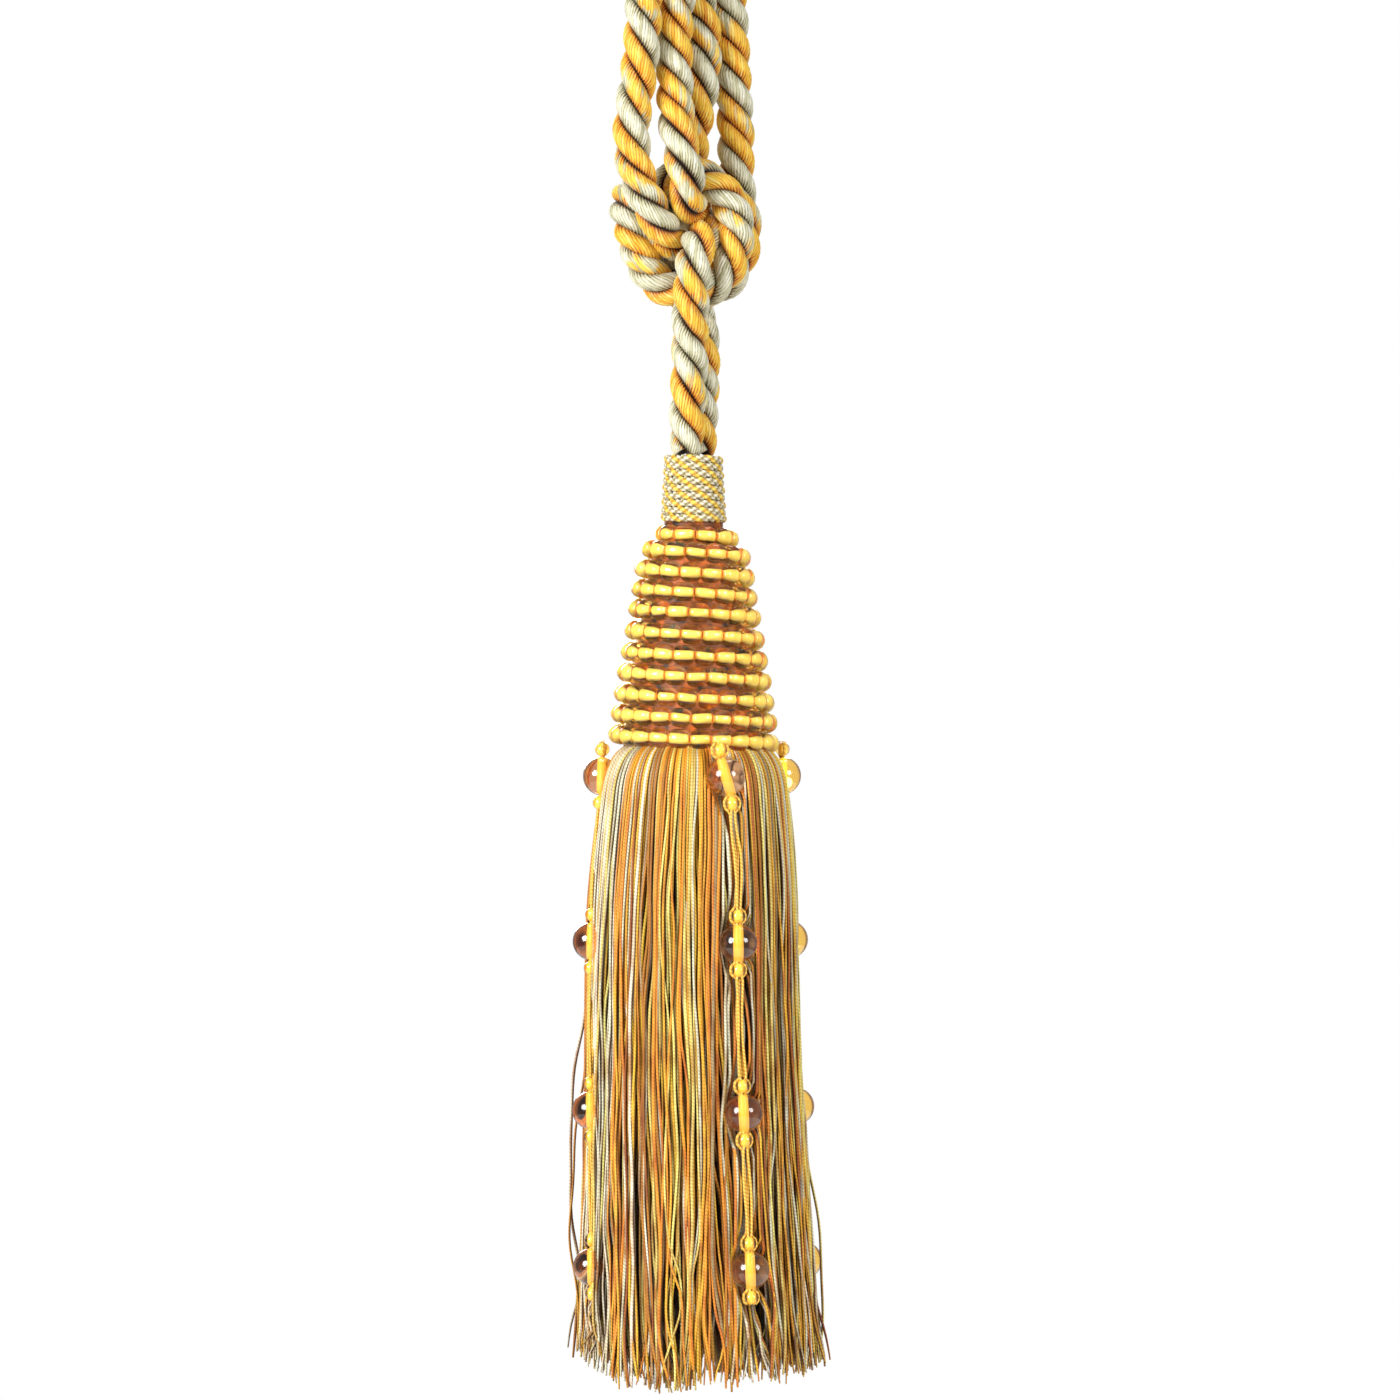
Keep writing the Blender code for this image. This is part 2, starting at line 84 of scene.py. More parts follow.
# Which strand faces the viewer: the row of the route just before, the height z, the strand
GOLD, MIXED, SILVER = 0, 1, 2
FACING = [
    (1, -181.7, GOLD), (4, -151.4, GOLD), (13, -123.9, SILVER), (15, -142.2, SILVER),
    (19, -131.8, GOLD), (21, -110.3, GOLD), (33, -105.6, SILVER), (36, -52.2, SILVER),
    (46, -54.7, GOLD), (48, -101.8, SILVER), (52, -112.2, MIXED), (55, -90.7, GOLD),
    (56, -63.9, GOLD), (68, -62.6, SILVER), (69, -92, SILVER), (72, -120.4, SILVER),
    (79, -161.5, GOLD), (81, -186.2, GOLD),
]
ROPE_STEP = 1.05
STRAND_SHARE = 0.475  # a strand's radius, of the rope's
YARNS = 15
YARN_TURN = 11.0  # a yarn goes once round its strand in this length of rope
YARN_RELIEF = 0.035
ROPE_FILL = 0.9  # how far the yarn fills out where the solid rope is squeezed in the knot
ROPE_BOUND = -196.8  # the neck holds it tight up to here, and it is loose this far above
LOOSE_ABOVE = 7.0
# yarn colours from deep to pale, and the painted shade between yarns and on the strands' flanks
GOLD_YARN = ("#DE8E1A", "#F8BA30", "#FFD84E", "#FFF094"), "#C4560A"
SILVER_YARN = ("#A8A47C", "#D2CEAA", "#EEEBD0", "#FFFFF2"), "#7E7444"
SILVER_IN_MIXED = 0.62

# Neck: fine cord of one gold ply and two silver ones, wound nine times round the rope's ends
NECK_TOP = -196.6
NECK_FOOT = -218.0
NECK_ROWS = 9
NECK_RADIUS_TOP = 9.3
NECK_RADIUS_FOOT = 10.4
NECK_CORD_RADIUS = 1.28
NECK_PLY_RADII = (0.76, 0.6, 0.6)  # the gold ply is the thicker one
NECK_PLY_TURNS = 8.49  # plies' turns to one turn round the neck, so that gold lines up in slanting lines

# Bead winding: turn, height and radius of the string where it passes the front
BEAD_ROWS = [
    (0.7, -221.4, 9.4), (1, -221.9, 10.6), (2, -227.5, 15.1), (3, -233.9, 16.4), (4, -240.2, 17.3),
    (5, -246.5, 18.4), (6, -253.5, 19.5), (7, -260.1, 20.5), (8, -266.7, 21.7), (9, -273.4, 22.6),
    (10, -279.7, 23.5), (11, -286.3, 24.2), (12, -292.8, 24.8),
]
BEAD_WINDING_TURNS = (0.7, 11.25)
BEAD_LENGTH = 6.5
# a bead's outline: share of its length from the middle, radius
BEAD_OUTLINE = [(-0.48, 1), (-0.47, 1.8), (-0.41, 2.55), (-0.28, 3), (-0.1, 3.15)]
BEAD_OUTLINE += [(-place, radius) for place, radius in reversed(BEAD_OUTLINE)]
LINING_RADIUS = 1.02
LINING_SHARE = 0.4
HEAD_DEPTH = 2.2  # how far the head's surface lies in from the string of beads
HEAD_TOP = NECK_FOOT + 0.4
HEAD_FOOT = -289.5

# Skirt: height, outer radius, how far its middle hangs to the right, how far out the drops hang
SKIRT = [
    (-289, 19.5, 0.4, 29.3), (-292.6, 20.5, 0.4, 29.1), (-294.6, 26.4, 0.4, 28.8),
    (-298.5, 28.9, 0.3, 28.5), (-305.6, 30.3, 0.2, 29.8), (-329.3, 32.5, -0.2, 32),
    (-368.8, 33.7, -0.6, 33.2), (-424, 35.6, 0.6, 35.1), (-485.7, 38.2, 1.6, 37.7),
]
SKIRT_HEM = -488.5
HEM_RADIUS = 38.3
BELOW_SHOULDER = -310
# how low the cut ends hang: azimuth, height
HEM_LINE = [
    (-180, -485), (-110, -481), (-88, -478.5), (-62, -482.5), (-38, -487), (-14, -489.5),
    (8, -486.5), (45, -485.5), (70, -484), (92, -481.5), (130, -484), (180, -485),
]
# where the threads stand open beside the front drop, and how wide: height, azimuth, half width
CHANNEL = [
    (-488.5, 9.5, 0.4), (-452, 10.5, 0.9), (-424, 13, 1.1), (-368.8, 17, 1.1),
    (-335, 18, 1), (-315, 19, 0.2), (-288, 19.5, 0),
]
STRAY_SHARE = 0.08  # threads that stand off the rest
# single threads that bow out at the sides: azimuth, where along the fall, over what share of it, how far
STRAYS = [
    (-97, 0.6, 0.19, 4.8), (-92, 0.66, 0.15, 3.2), (-104, 0.97, 0.1, 3), (88, 1, 0.12, 3.4),
    (95, 0.8, 0.14, 2.2), (83, 1, 0.08, 2.6),
]
# slits all round where the threads stand open: how many, and the least and the most of each measure
SLITS = 70
SLIT_HEIGHTS = (-478, -318)
SLIT_LENGTHS = (9, 28)
SLIT_WIDTHS = (0.6, 1.4)
# how threads sway, in millimetres: in so many bunches all round, and each by itself in bends of so many
# radians along the fall, the least and the most
BUNCH_SWAYS = ((4, 1.2), (9, 0.8), (17, 0.7), (31, 0.5))
OWN_SWAYS = ((0.55, 3, 9), (0.4, 8, 18), (0.24, 18, 38))
CUT_SHORT = 0.3  # the share of threads cut shorter than the rest, and of those that hang out below
HANG_OUT = 0.05
DARK_SHARE = 0.08  # the share of dark threads
# how a thread comes out over the shoulder: radius, height
SHOULDER = [
    (19.5, -287.9), (23, -289.3), (25.6, -291.6), (27.6, -294.9), (29.1, -299.2), (30.2, -306),
]
CLING_THREADS = 3.4
CLING = 0.42
UNDER_BEADS = 9.0  # how far down the beads' painted shade reaches
THREAD_LAYERS = [
    # name, threads, depth inside the outer radius, thread radius, stops along a thread, corners, painted
    # shade
    ("skirt_outer_threads", 224, 0.5, 0.47, 64, 6, 0),
    ("skirt_second_threads", 210, 1.5, 0.48, 54, 6, 0.25),
    ("skirt_third_threads", 190, 2.8, 0.52, 40, 5, 0.55),
    ("skirt_fourth_threads", 160, 4.6, 0.6, 28, 4, 0.8),
    ("skirt_fifth_threads", 120, 7.8, 0.8, 20, 4, 0.9),
    ("skirt_inner_threads", 110, 13.5, 0.9, 16, 4, 0.92),
    ("skirt_core_threads", 70, 21.5, 1, 14, 4, 0.92),
]
SKIRT_COLOURS = ("#FFBE30", "#FFE67E", "#FAF7DA", "#E6E6C6", "#F69C24")
# azimuth, and the shares of gold, pale gold, cream, sage and burnt orange threads there
SKIRT_BANDS = [
    (-180, 4, 3, 1, 1, 2), (-140, 3, 2, 2, 2, 1), (-100, 3, 2, 1, 1, 1), (-78, 2, 3, 3, 3, 1),
    (-55, 2, 2, 3, 3, 1), (-42, 5, 3, 1, 1, 2), (-25, 4, 3, 2, 1, 2), (-8, 5, 4, 1, 1, 2),
    (4, 5, 3, 1, 1, 2), (14, 4, 2, 0, 1, 4), (24, 4, 2, 1, 1, 3), (36, 4, 3, 2, 2, 2),
    (52, 5, 4, 1, 1, 2), (75, 4, 3, 2, 2, 1), (110, 5, 3, 1, 1, 1), (145, 3, 2, 2, 2, 1),
    (180, 4, 3, 1, 1, 2),
]

# Bead drops: name, azimuth from the front at the top, below the shoulder and at the foot, in degrees,
# and how far off the threads stay to its right, in millimetres; the last one's beads lie half under them
DROPS = [
    ("drop_1", 17, 26, 27.8, 6.5),
    ("drop_2", 108, 109, 112, 6.5),
    ("drop_3", 195, 196, 199, 6.5),
    ("drop_4", 268, 281, 299, 2),
]
FIRST_BEAD_LEAN = {"drop_1": 1.5}  # how far the thread leans over through the first bead, in millimetres
DROP_TOP = -287.3
DROP_BELOW_SHOULDER = -322.0
BIG_BEAD_HEIGHTS = (-298, -350, -403, -452)
BIG_BEAD_RADIUS = 6.0
BIG_BEAD_HALF = 5.7
SMALL_BEAD_RADIUS = 2.35
SMALL_BEAD_OFFSET = 8.4
SMALL_BEAD_HALF = 2.1
DROP_THREAD_RADIUS = 0.42
HONEY_DROPS = ("drop_2",)

# Lamps, in metres: name, place, width, watts; where they look; how much light the white room gives
LAMPS = [
    ("key_light", (-1.25, -1.2, 0.2), 1.05, 38),
    ("fill_light", (1.3, -1.2, 0.25), 0.85, 18),
    ("top_light", (0.1, 0.5, 1), 0.8, 6),
    ("back_light", (-0.2, 1.6, 0.2), 0.9, 15),
]
LAMPS_AIM = (0, 0, -0.24)
ROOM_LIGHT = 0.3


def linear(hex_colour):
    """An sRGB hex colour as Blender's linear red, green, blue and alpha."""
    values = [int(hex_colour[i : i + 2], 16) / 255 for i in (1, 3, 5)]
    return (*[v / 12.92 if v <= 0.04045 else ((v + 0.055) / 1.055) ** 2.4 for v in values], 1)


def fill_inputs(node, inputs):
    """Sets or links inputs, named or in order: to a number, a colour, an output or a node's first output."""
    for name, value in inputs.items() if isinstance(inputs, dict) else enumerate(inputs):
        if isinstance(value, bpy.types.Node):
            value = next(socket for socket in value.outputs if socket.enabled)
        if isinstance(value, bpy.types.NodeSocket):
            node.id_data.links.new(value, node.inputs[name])
        else:
            node.inputs[name].default_value = value


def add_node(tree, kind, inputs=(), operation=None, **settings):
    """One shader node with its settings and its inputs."""
    made = tree.nodes.new("ShaderNode" + kind)
    if operation:
        made.operation = operation
    for name, value in settings.items():
        setattr(made, name, value)
    fill_inputs(made, inputs)
    return made


def new_material(name, **sockets):
    """A material with its Principled shader, whose constants are set on its own sockets."""
    made = bpy.data.materials.new(name)
    made.use_nodes = True
    shader = made.node_tree.nodes["Principled BSDF"]
    for socket, value in sockets.items():
        shader.inputs[socket.replace("_", " ")].default_value = value
    return made, made.node_tree, shader


def skins(rings, run):
    """Closed skins over stacks of rings, an array (stack, ring, corner, xyz) in millimetres.

    Returns the points, the faces of four and of three corners, and for each face corner how far
    round it lies, from 0 to 1, and how far along, as run (stack, ring) says."""
    stacks, rows, corners, _ = rings.shape
    run = np.broadcast_to(run, (stacks, rows))
    index = np.arange(stacks * rows * corners).reshape(stacks, rows, corners)
    low, high = index[:, :-1], index[:, 1:]
    quads = np.stack([low, np.roll(low, -1, 2), np.roll(high, -1, 2), high], axis=-1).reshape(-1, 4)
    side = np.arange(corners)
    round_it = np.stack([side, side + 1, side + 1, side], axis=-1) / corners
    along = np.stack([run[:, :-1], run[:, :-1], run[:, 1:], run[:, 1:]], axis=-1)[:, :, None]
    quad_places = np.stack(np.broadcast_arrays(round_it, along), axis=-1).reshape(-1, 4, 2)
    middles = rings[:, [0, -1]].mean(axis=2).reshape(-1, 3)
    centre = stacks * rows * corners + np.arange(stacks * 2).reshape(stacks, 2, 1)
    first, last = index[:, 0], index[:, -1]
    start = np.stack(np.broadcast_arrays(centre[:, 0], np.roll(first, -1, 1), first), axis=-1)
    end = np.stack(np.broadcast_arrays(centre[:, 1], last, np.roll(last, -1, 1)), axis=-1)
    tris = np.hstack([start, end]).reshape(-1, 3)
    tri_places = np.zeros((len(tris), 3, 2))
    tri_places[..., 0] = 0.5
    tri_places[..., 1] = np.repeat(run[:, [0, -1]], corners, axis=1).reshape(-1, 1)
    return np.vstack([rings.reshape(-1, 3), middles]), quads, tris, quad_places, tri_places


def new_object(name, data):
    """Puts a mesh, a lamp or a camera into the scene."""
    made = bpy.data.objects.new(name, data)
    bpy.context.scene.collection.objects.link(made)
    return made


def mesh_piece(name, parts, materials, marks=None):
    """One object from skins, each with the number of its material.

    marks are numbers or colours on its points."""
    points, loops, sizes, places, finish, base = [], [], [], [], [], 0
    for (part_points, quads, tris, quad_places, tri_places), number in parts:
        points.append(part_points)
        loops += [(quads + base).ravel(), (tris + base).ravel()]
        sizes += [np.full(len(quads), 4), np.full(len(tris), 3)]
        places += [quad_places.ravel(), tri_places.ravel()]
        finish.append(np.full(len(quads) + len(tris), number))
        base += len(part_points)
    points, loops, sizes = np.vstack(points) * MM, np.hstack(loops), np.hstack(sizes)
    mesh = bpy.data.meshes.new(name)
    mesh.vertices.add(len(points))
    mesh.vertices.foreach_set("co", points.astype(np.float32).ravel())
    mesh.loops.add(len(loops))
    mesh.loops.foreach_set("vertex_index", loops.astype(np.int32))
    mesh.polygons.add(len(sizes))
    mesh.polygons.foreach_set("loop_start", np.r_[0, np.cumsum(sizes)[:-1]].astype(np.int32))
    mesh.polygons.foreach_set("material_index", np.hstack(finish).astype(np.int32))
    mesh.update(calc_edges=True)
    mesh.uv_layers.new(name="lay").data.foreach_set("uv", np.hstack(places).astype(np.float32))
    for mark, values in (marks or {}).items():
        kind, slot = ("FLOAT_COLOR", "color") if values.ndim == 2 else ("FLOAT", "value")
        mesh.attributes.new(mark, kind, "POINT").data.foreach_set(slot, values.astype(np.float32).ravel())
    mesh.shade_smooth()
    for material in materials:
        mesh.materials.append(material)
    made = new_object(name, mesh)
    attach(made, "root")
    return made


def run_along(points):
    """How far along a line of points each of them lies."""
    return np.r_[0, np.cumsum(np.linalg.norm(np.diff(points, axis=0), axis=1))]


def smooth_curve(rows):
    """Samples of the natural cubic spline through the rows, and where the rows lie along it."""
    rows = np.asarray(rows, float)
    knots = run_along(rows[:, :3])
    room = np.diff(knots)
    count = len(knots)
    system = np.eye(count)
    right = np.zeros(rows.shape)
    for i in range(1, count - 1):
        system[i, i - 1 : i + 2] = room[i - 1], 2 * (room[i - 1] + room[i]), room[i]
        right[i] = 6 * ((rows[i + 1] - rows[i]) / room[i] - (rows[i] - rows[i - 1]) / room[i - 1])
    bend = np.linalg.solve(system, right)
    at = np.linspace(0, knots[-1], int(knots[-1] / CURVE_STEP) + 1)
    i = np.clip(np.searchsorted(knots, at, side="right") - 1, 0, count - 2)
    h = room[i][:, None]
    a = (knots[i + 1] - at)[:, None]
    b = (at - knots[i])[:, None]
    points = (
        (bend[i] * a**3 + bend[i + 1] * b**3) / (6 * h)
        + (rows[i] / h - bend[i] * h / 6) * a
        + (rows[i + 1] / h - bend[i + 1] * h / 6) * b
    )
    length = run_along(points[:, :3])
    return points, length, np.interp(knots, at, length)


def directions(points):
    """Unit steps along lines of points, an array (..., point, xyz)."""
    steps = np.gradient(points, axis=-2)
    return steps / np.linalg.norm(steps, axis=-1, keepdims=True)


def carried_frames(points):
    """A normal and a binormal at each point, carried along the line without turning."""
    tangents = directions(points)
    normal = np.cross(tangents[0], (0, 1, 0))
    normals = []
    for tangent in tangents:
        normal = normal - tangent * (normal @ tangent)
        normal = normal / np.linalg.norm(normal)
        normals.append(normal)
    normals = np.array(normals)
    return normals, np.cross(tangents, normals)


def strand_turns(points, length, row_at, normals, binormals):
    """Turns of the gold strand along the rope, so that each strand in FACING faces the viewer there."""
    places, turns = [], []
    for row, height, strand in FACING:
        here = np.flatnonzero((length >= row_at[row]) & (length <= row_at[row + 1]))
        sample = here[np.argmin(abs(points[here, 2] - height))]
        turn = math.atan2(-binormals[sample, 1], -normals[sample, 1]) / TURN - strand / 3
        if places:
            turn += round(turns[-1] - (length[sample] - places[-1]) / LAY - turn)
        places.append(length[sample])
        turns.append(turn)
    before = turns[0] + places[0] / LAY
    after = turns[-1] - (length[-1] - places[-1]) / LAY
    return np.interp(length, [0, *places, length[-1]], [before, *turns, after])


def tube_rings(lines, radii, outward, corners, twist=0):
    """Rings round lines (line, point, xyz), the first corner of each towards outward and turned by twist."""
    tangents = directions(lines)
    out = outward - tangents * (outward * tangents).sum(-1, keepdims=True)
    out /= np.linalg.norm(out, axis=-1, keepdims=True)
    aside = np.cross(tangents, out)
    angle = TURN * np.arange(corners) / corners + np.asarray(twist)[..., None]
    shape = (*lines.shape[:2], corners)
    angle = np.broadcast_to(angle, shape)[..., None]
    radii = np.broadcast_to(radii, shape)[..., None]
    return lines[:, :, None] + radii * (np.cos(angle) * out[:, :, None] + np.sin(angle) * aside[:, :, None])


def new_yarn(name, roughness, specular, sheen=0.2):
    """A yarn's silky material, and how far round it and along it, in millimetres, each place lies."""
    made, tree, shader = new_material(
        name, Roughness=roughness, Specular_IOR_Level=specular, Sheen_Weight=sheen, Sheen_Roughness=0.4
    )
    split = add_node(tree, "SeparateXYZ", {"Vector": add_node(tree, "UVMap", uv_map="lay")})
    return made, tree, shader, split.outputs["X"], split.outputs["Y"]


def rope_yarn(name, threads, shade, silver_share=0, silver_threads=(), silver_shade="#000000"):
    """Viscose embroidery yarn, spun and plied: silky, with soft pale streaks along each yarn as painted
    sheen.

    Its colour changes from yarn to yarn. Painted shade darkens it between yarns and on strands' flanks,
    and painted near-black shade fills the grooves between strands."""
    made, tree, shader, round_it, along = new_yarn(name, 0.45, 0.4)
    body = add_node(tree, "TexCoord").outputs["Object"]
    # a yarn wanders by a third of its width every 4 mm
    wander = add_node(tree, "TexNoise", {"Vector": body, "Scale": 250, "Detail": 1})
    wander = add_node(tree, "MapRange", {"Value": wander, "To Min": -0.45, "To Max": 0.45})
    yarn = add_node(tree, "Math", [round_it, YARNS, wander], "MULTIPLY_ADD")
    number = add_node(tree, "Math", [yarn], "FLOOR")
    number = add_node(tree, "Math", [number, YARNS, 0], "WRAP")
    across = add_node(tree, "Math", [yarn], "FRACT")
    chance = add_node(tree, "TexWhiteNoise", {"W": number}, noise_dimensions="1D")
    # streaks of painted sheen some 7 mm long, one or two to a yarn's width
    spread = add_node(tree, "Math", [number, 3.7, across], "MULTIPLY_ADD")
    run = add_node(tree, "Math", [along, 1 / 7], "MULTIPLY")
    spot = add_node(tree, "CombineXYZ", {"X": spread, "Y": run})
    streak = add_node(tree, "TexNoise", {"Vector": spot, "Scale": 1.6, "Detail": 3, "Roughness": 0.6})
    tone = add_node(tree, "Math", [chance, 0.45, streak], "MULTIPLY_ADD")
    tone = add_node(tree, "MapRange", [tone, 0.3, 1.1])
    # deep: the painted shade colour for the flanks and the lines between yarns
    colour, deep = add_node(tree, "ValToRGB", {"Fac": tone}), linear(shade)
    spread_colours(colour.color_ramp, threads)
    if silver_share:
        # which yarns are silver: they come and go along the strand every 8 mm, a few side by side
        pick = add_node(tree, "TexNoise", {"Vector": body, "Scale": 130, "Detail": 0})
        pick = add_node(tree, "Math", [chance, 0.3, pick], "MULTIPLY_ADD")
        silver = add_node(tree, "ValToRGB", {"Fac": tone})
        spread_colours(silver.color_ramp, silver_threads)
        chosen = add_node(tree, "MapRange", [pick, silver_share - 0.07, silver_share + 0.07])
        colour = add_node(tree, "Mix", {"Factor": chosen, 6: silver, 7: colour}, data_type="RGBA")
        deep = add_node(tree, "Mix", {"Factor": chosen, 6: linear(silver_shade), 7: deep}, data_type="RGBA")
    # painted shade on a strand's flanks, and painted near-black shade in the grooves between two strands
    away = add_node(tree, "Attribute", attribute_name="away").outputs["Fac"]
    flank_shade = add_node(tree, "MapRange", [away, 0.97, 0.72])
    groove_shade = add_node(tree, "MapRange", [away, 0.79, 0.63])
    # painted shade in the line between two yarns, which shows more here and less there, and more on the
    # flanks
    edge = add_node(tree, "Math", [across, 0.5], "SUBTRACT")
    edge = add_node(tree, "Math", [edge], "ABSOLUTE")
    edge = add_node(tree, "MapRange", [edge, 0.2, 0.46])
    depth = add_node(tree, "TexNoise", {"Vector": body, "Scale": 420, "Detail": 2})
    depth = add_node(tree, "MapRange", [depth, 0.35, 0.65, 0.15])
    line = add_node(tree, "Math", [edge, depth], "MULTIPLY")
    more = add_node(tree, "MapRange", {"Value": flank_shade, "To Min": 0.75, "To Max": 1})
    line = add_node(tree, "Math", [line, more], "MULTIPLY")
    shaded = add_node(tree, "Math", [flank_shade, 0.75, line], "MULTIPLY_ADD", use_clamp=True)
    shaded = add_node(tree, "Mix", {"Factor": shaded, 6: colour, 7: deep}, data_type="RGBA")
    dark = add_node(tree, "Math", [line, flank_shade], "MULTIPLY")
    dark = add_node(tree, "Math", [dark, 0.75, groove_shade], "MULTIPLY_ADD", use_clamp=True)
    # painted near-black shade in the grooves between strands
    shaded = add_node(tree, "Mix", {"Factor": dark, 6: shaded, 7: linear("#2E1405")}, data_type="RGBA")
    # each yarn is round, and twisted of bundles that turn every 1.1 mm
    slant = add_node(tree, "Math", [along, 1 / 1.1, yarn], "MULTIPLY_ADD")
    slant = add_node(tree, "Math", [slant, TURN], "MULTIPLY")
    wave = add_node(tree, "Math", [slant], "SINE")
    wave = add_node(tree, "Math", [wave, 0.18, edge], "MULTIPLY_ADD")
    bump = add_node(tree, "Bump", {"Height": wave, "Strength": 0.5, "Distance": 0.00022}, invert=True)
    fill_inputs(shader, {"Base Color": shaded, "Normal": bump})
    return made


def spread_colours(ramp, colours):
    """Sets a ramp to these hex colours, evenly spaced."""
    while len(ramp.elements) < len(colours):
        ramp.elements.new(0.5)
    for i, colour in enumerate(colours):
        ramp.elements[i].position = i / (len(colours) - 1)
        ramp.elements[i].color = linear(colour)


def build_rope():
    """Three strands of twisted yarn laid S round the route, one mesh."""
    points, length, row_at = smooth_curve(ROUTE)
    normals, binormals = carried_frames(points[:, :3])
    turns = strand_turns(points, length, row_at, normals, binormals)
    even = np.linspace(0, length[-1], round(length[-1] / ROPE_STEP) + 1)
    sample = [int(np.argmin(abs(length - distance))) for distance in even]
    middle, turns = points[sample, :3], turns[sample]
    squeezed = points[sample, 3]
    loose = np.clip((middle[:, 2] - ROPE_BOUND) / LOOSE_ABOVE, 0, 1)
    radius = squeezed + ROPE_FILL * loose * (ROPE_DIAMETER / 2 - squeezed)
    normals, binormals, run = normals[sample], binormals[sample], length[sample]
    strand = STRAND_SHARE * radius
    angle = TURN * (turns + np.arange(3)[:, None] / 3)[..., None]
    out = np.cos(angle) * normals + np.sin(angle) * binormals
    lines = middle + (radius - strand)[:, None] * out
    corners = 2 * YARNS
    ridge = 1 + YARN_RELIEF * np.where(np.arange(corners) % 2, 1, -1)
    twist = TURN * run / YARN_TURN
    rings = tube_rings(lines, strand[:, None] * ridge, lines - middle, corners, twist)
    away = np.linalg.norm(rings - middle[:, None], axis=-1) / radius[:, None]
    parts = zip([skins(strand[None], run) for strand in rings], (GOLD, MIXED, SILVER))
    marks = np.hstack([np.r_[away[i].ravel(), 0.5, 0.5] for i in range(3)])
    finishes = [
        rope_yarn("gold_viscose_yarn", *GOLD_YARN),
        rope_yarn("gold_and_silver_viscose_yarn", *GOLD_YARN, SILVER_IN_MIXED, *SILVER_YARN),
        rope_yarn("silver_viscose_yarn", *SILVER_YARN),
    ]
    rope = mesh_piece("twisted_rope", parts, finishes, {"away": marks})
    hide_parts("rope")


def around(azimuth, radius, height, middle=0):
    """Points at these azimuths from the front, to the right, round an axis moved right by middle."""
    angle = np.radians(azimuth)
    place = (middle + radius * np.sin(angle), -radius * np.cos(angle), height + 0 * angle)
    return np.stack(np.broadcast_arrays(*place), axis=-1)


def half_circle(azimuth):
    """Azimuths between -180 and 180."""
    return (azimuth + 180) % 360 - 180


def column(rows, at, number):
    """What a table's column says at this value of its first column."""
    rows = np.array(sorted(rows))
    return np.interp(at, rows[:, 0], rows[:, number])


def turned_skins(outlines, corners, starts, ends):
    """Turned shapes along many lines, as one skin.

    An outline says (share of the way from start to end, radius), for all the lines or for each."""
    starts, spans = np.array(starts, float), np.subtract(ends, starts)
    outlines = np.broadcast_to(outlines, (len(starts), *np.shape(outlines)[-2:]))
    axes = spans / np.linalg.norm(spans, axis=1, keepdims=True)
    out = np.cross(axes, (0.3, 0.5, 0.8))
    out /= np.linalg.norm(out, axis=1, keepdims=True)
    angle = TURN * np.arange(corners)[:, None] / corners
    circle = np.cos(angle) * out[:, None] + np.sin(angle) * np.cross(axes, out)[:, None]
    share, radius = outlines[..., :1, None], outlines[..., 1:, None]
    rings = starts[:, None, None] + share * spans[:, None, None] + radius * circle[:, None]
    return skins(rings, outlines[..., 0])


def plied_thread(name, colour, deep, roughness=0.4):
    """Fine viscose or metal-wrapped ply: smooth, with a twist of bundles whose troughs get painted shade."""
    made, tree, shader, round_it, along = new_yarn(name, roughness, 0.5)
    # the bundles turn every 1.2 mm
    slant = add_node(tree, "Math", [along, 1 / 1.2, round_it], "MULTIPLY_ADD")
    wave = add_node(tree, "Math", [slant, TURN], "MULTIPLY")
    wave = add_node(tree, "Math", [wave], "SINE")
    # painted shade in the troughs between bundles, their own colour on the crests
    tone = add_node(tree, "MapRange", [wave, -1])
    shade = add_node(tree, "Mix", {"Factor": tone, 6: linear(deep), 7: linear(colour)}, data_type="RGBA")
    bump = add_node(tree, "Bump", {"Height": wave, "Strength": 0.4, "Distance": 0.00006})
    fill_inputs(shader, {"Base Color": shade, "Normal": bump})
    return made


def build_neck():
    """The wound cord, ply by ply, over a brown core that closes the gaps.

    Its first half turn and its last lie level behind, so that both ends are tucked under a neighbour."""
    pitch = (NECK_TOP - NECK_FOOT - 2 * NECK_CORD_RADIUS) / (NECK_ROWS - 1)
    turn = np.linspace(-0.5, NECK_ROWS - 0.5, NECK_ROWS * 100 + 1)
    top, foot = NECK_TOP - NECK_CORD_RADIUS, NECK_FOOT + NECK_CORD_RADIUS
    height = np.clip(top - pitch * turn, foot, top)
    radius = NECK_RADIUS_TOP + (NECK_RADIUS_FOOT - NECK_RADIUS_TOP) * (top - height) / (top - foot)
    line = around(360 * turn, radius - NECK_CORD_RADIUS, height)
    outward = around(360 * turn, 1, 0)
    down = np.cross(directions(line), outward)
    reach = NECK_CORD_RADIUS - NECK_PLY_RADII[1]
    angle = TURN * (NECK_PLY_TURNS * turn + np.arange(3)[:, None] / 3)[..., None]
    plies = line + reach * (np.cos(angle) * outward + np.sin(angle) * down)
    rings = tube_rings(plies, np.array(NECK_PLY_RADII)[:, None, None], plies - line, 8)
    core_outline = [(0, 4), (0, NECK_RADIUS_TOP - 1.9), (1, NECK_RADIUS_FOOT - 2.1), (1, 4)]
    core = turned_skins(core_outline, 48, [(0, 0, NECK_TOP - 1.2)], [(0, 0, NECK_FOOT + 0.6)])
    finishes = [
        plied_thread("gold_metallic_ply", "#FFE460", "#CE942A", 0.3),
        plied_thread("silver_metallic_ply", "#F2ECD6", "#A0905E", 0.3),
        plied_thread("brown_binding_thread", "#5A3A1C", "#2A180C", 0.7),
    ]
    wound = [skins(ply[None], run_along(line)) for ply in rings]
    parts = zip([*wound, core], (0, 1, 1, 2))
    neck = mesh_piece("neck_cord_winding", parts, finishes)
    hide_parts("neck_winding")


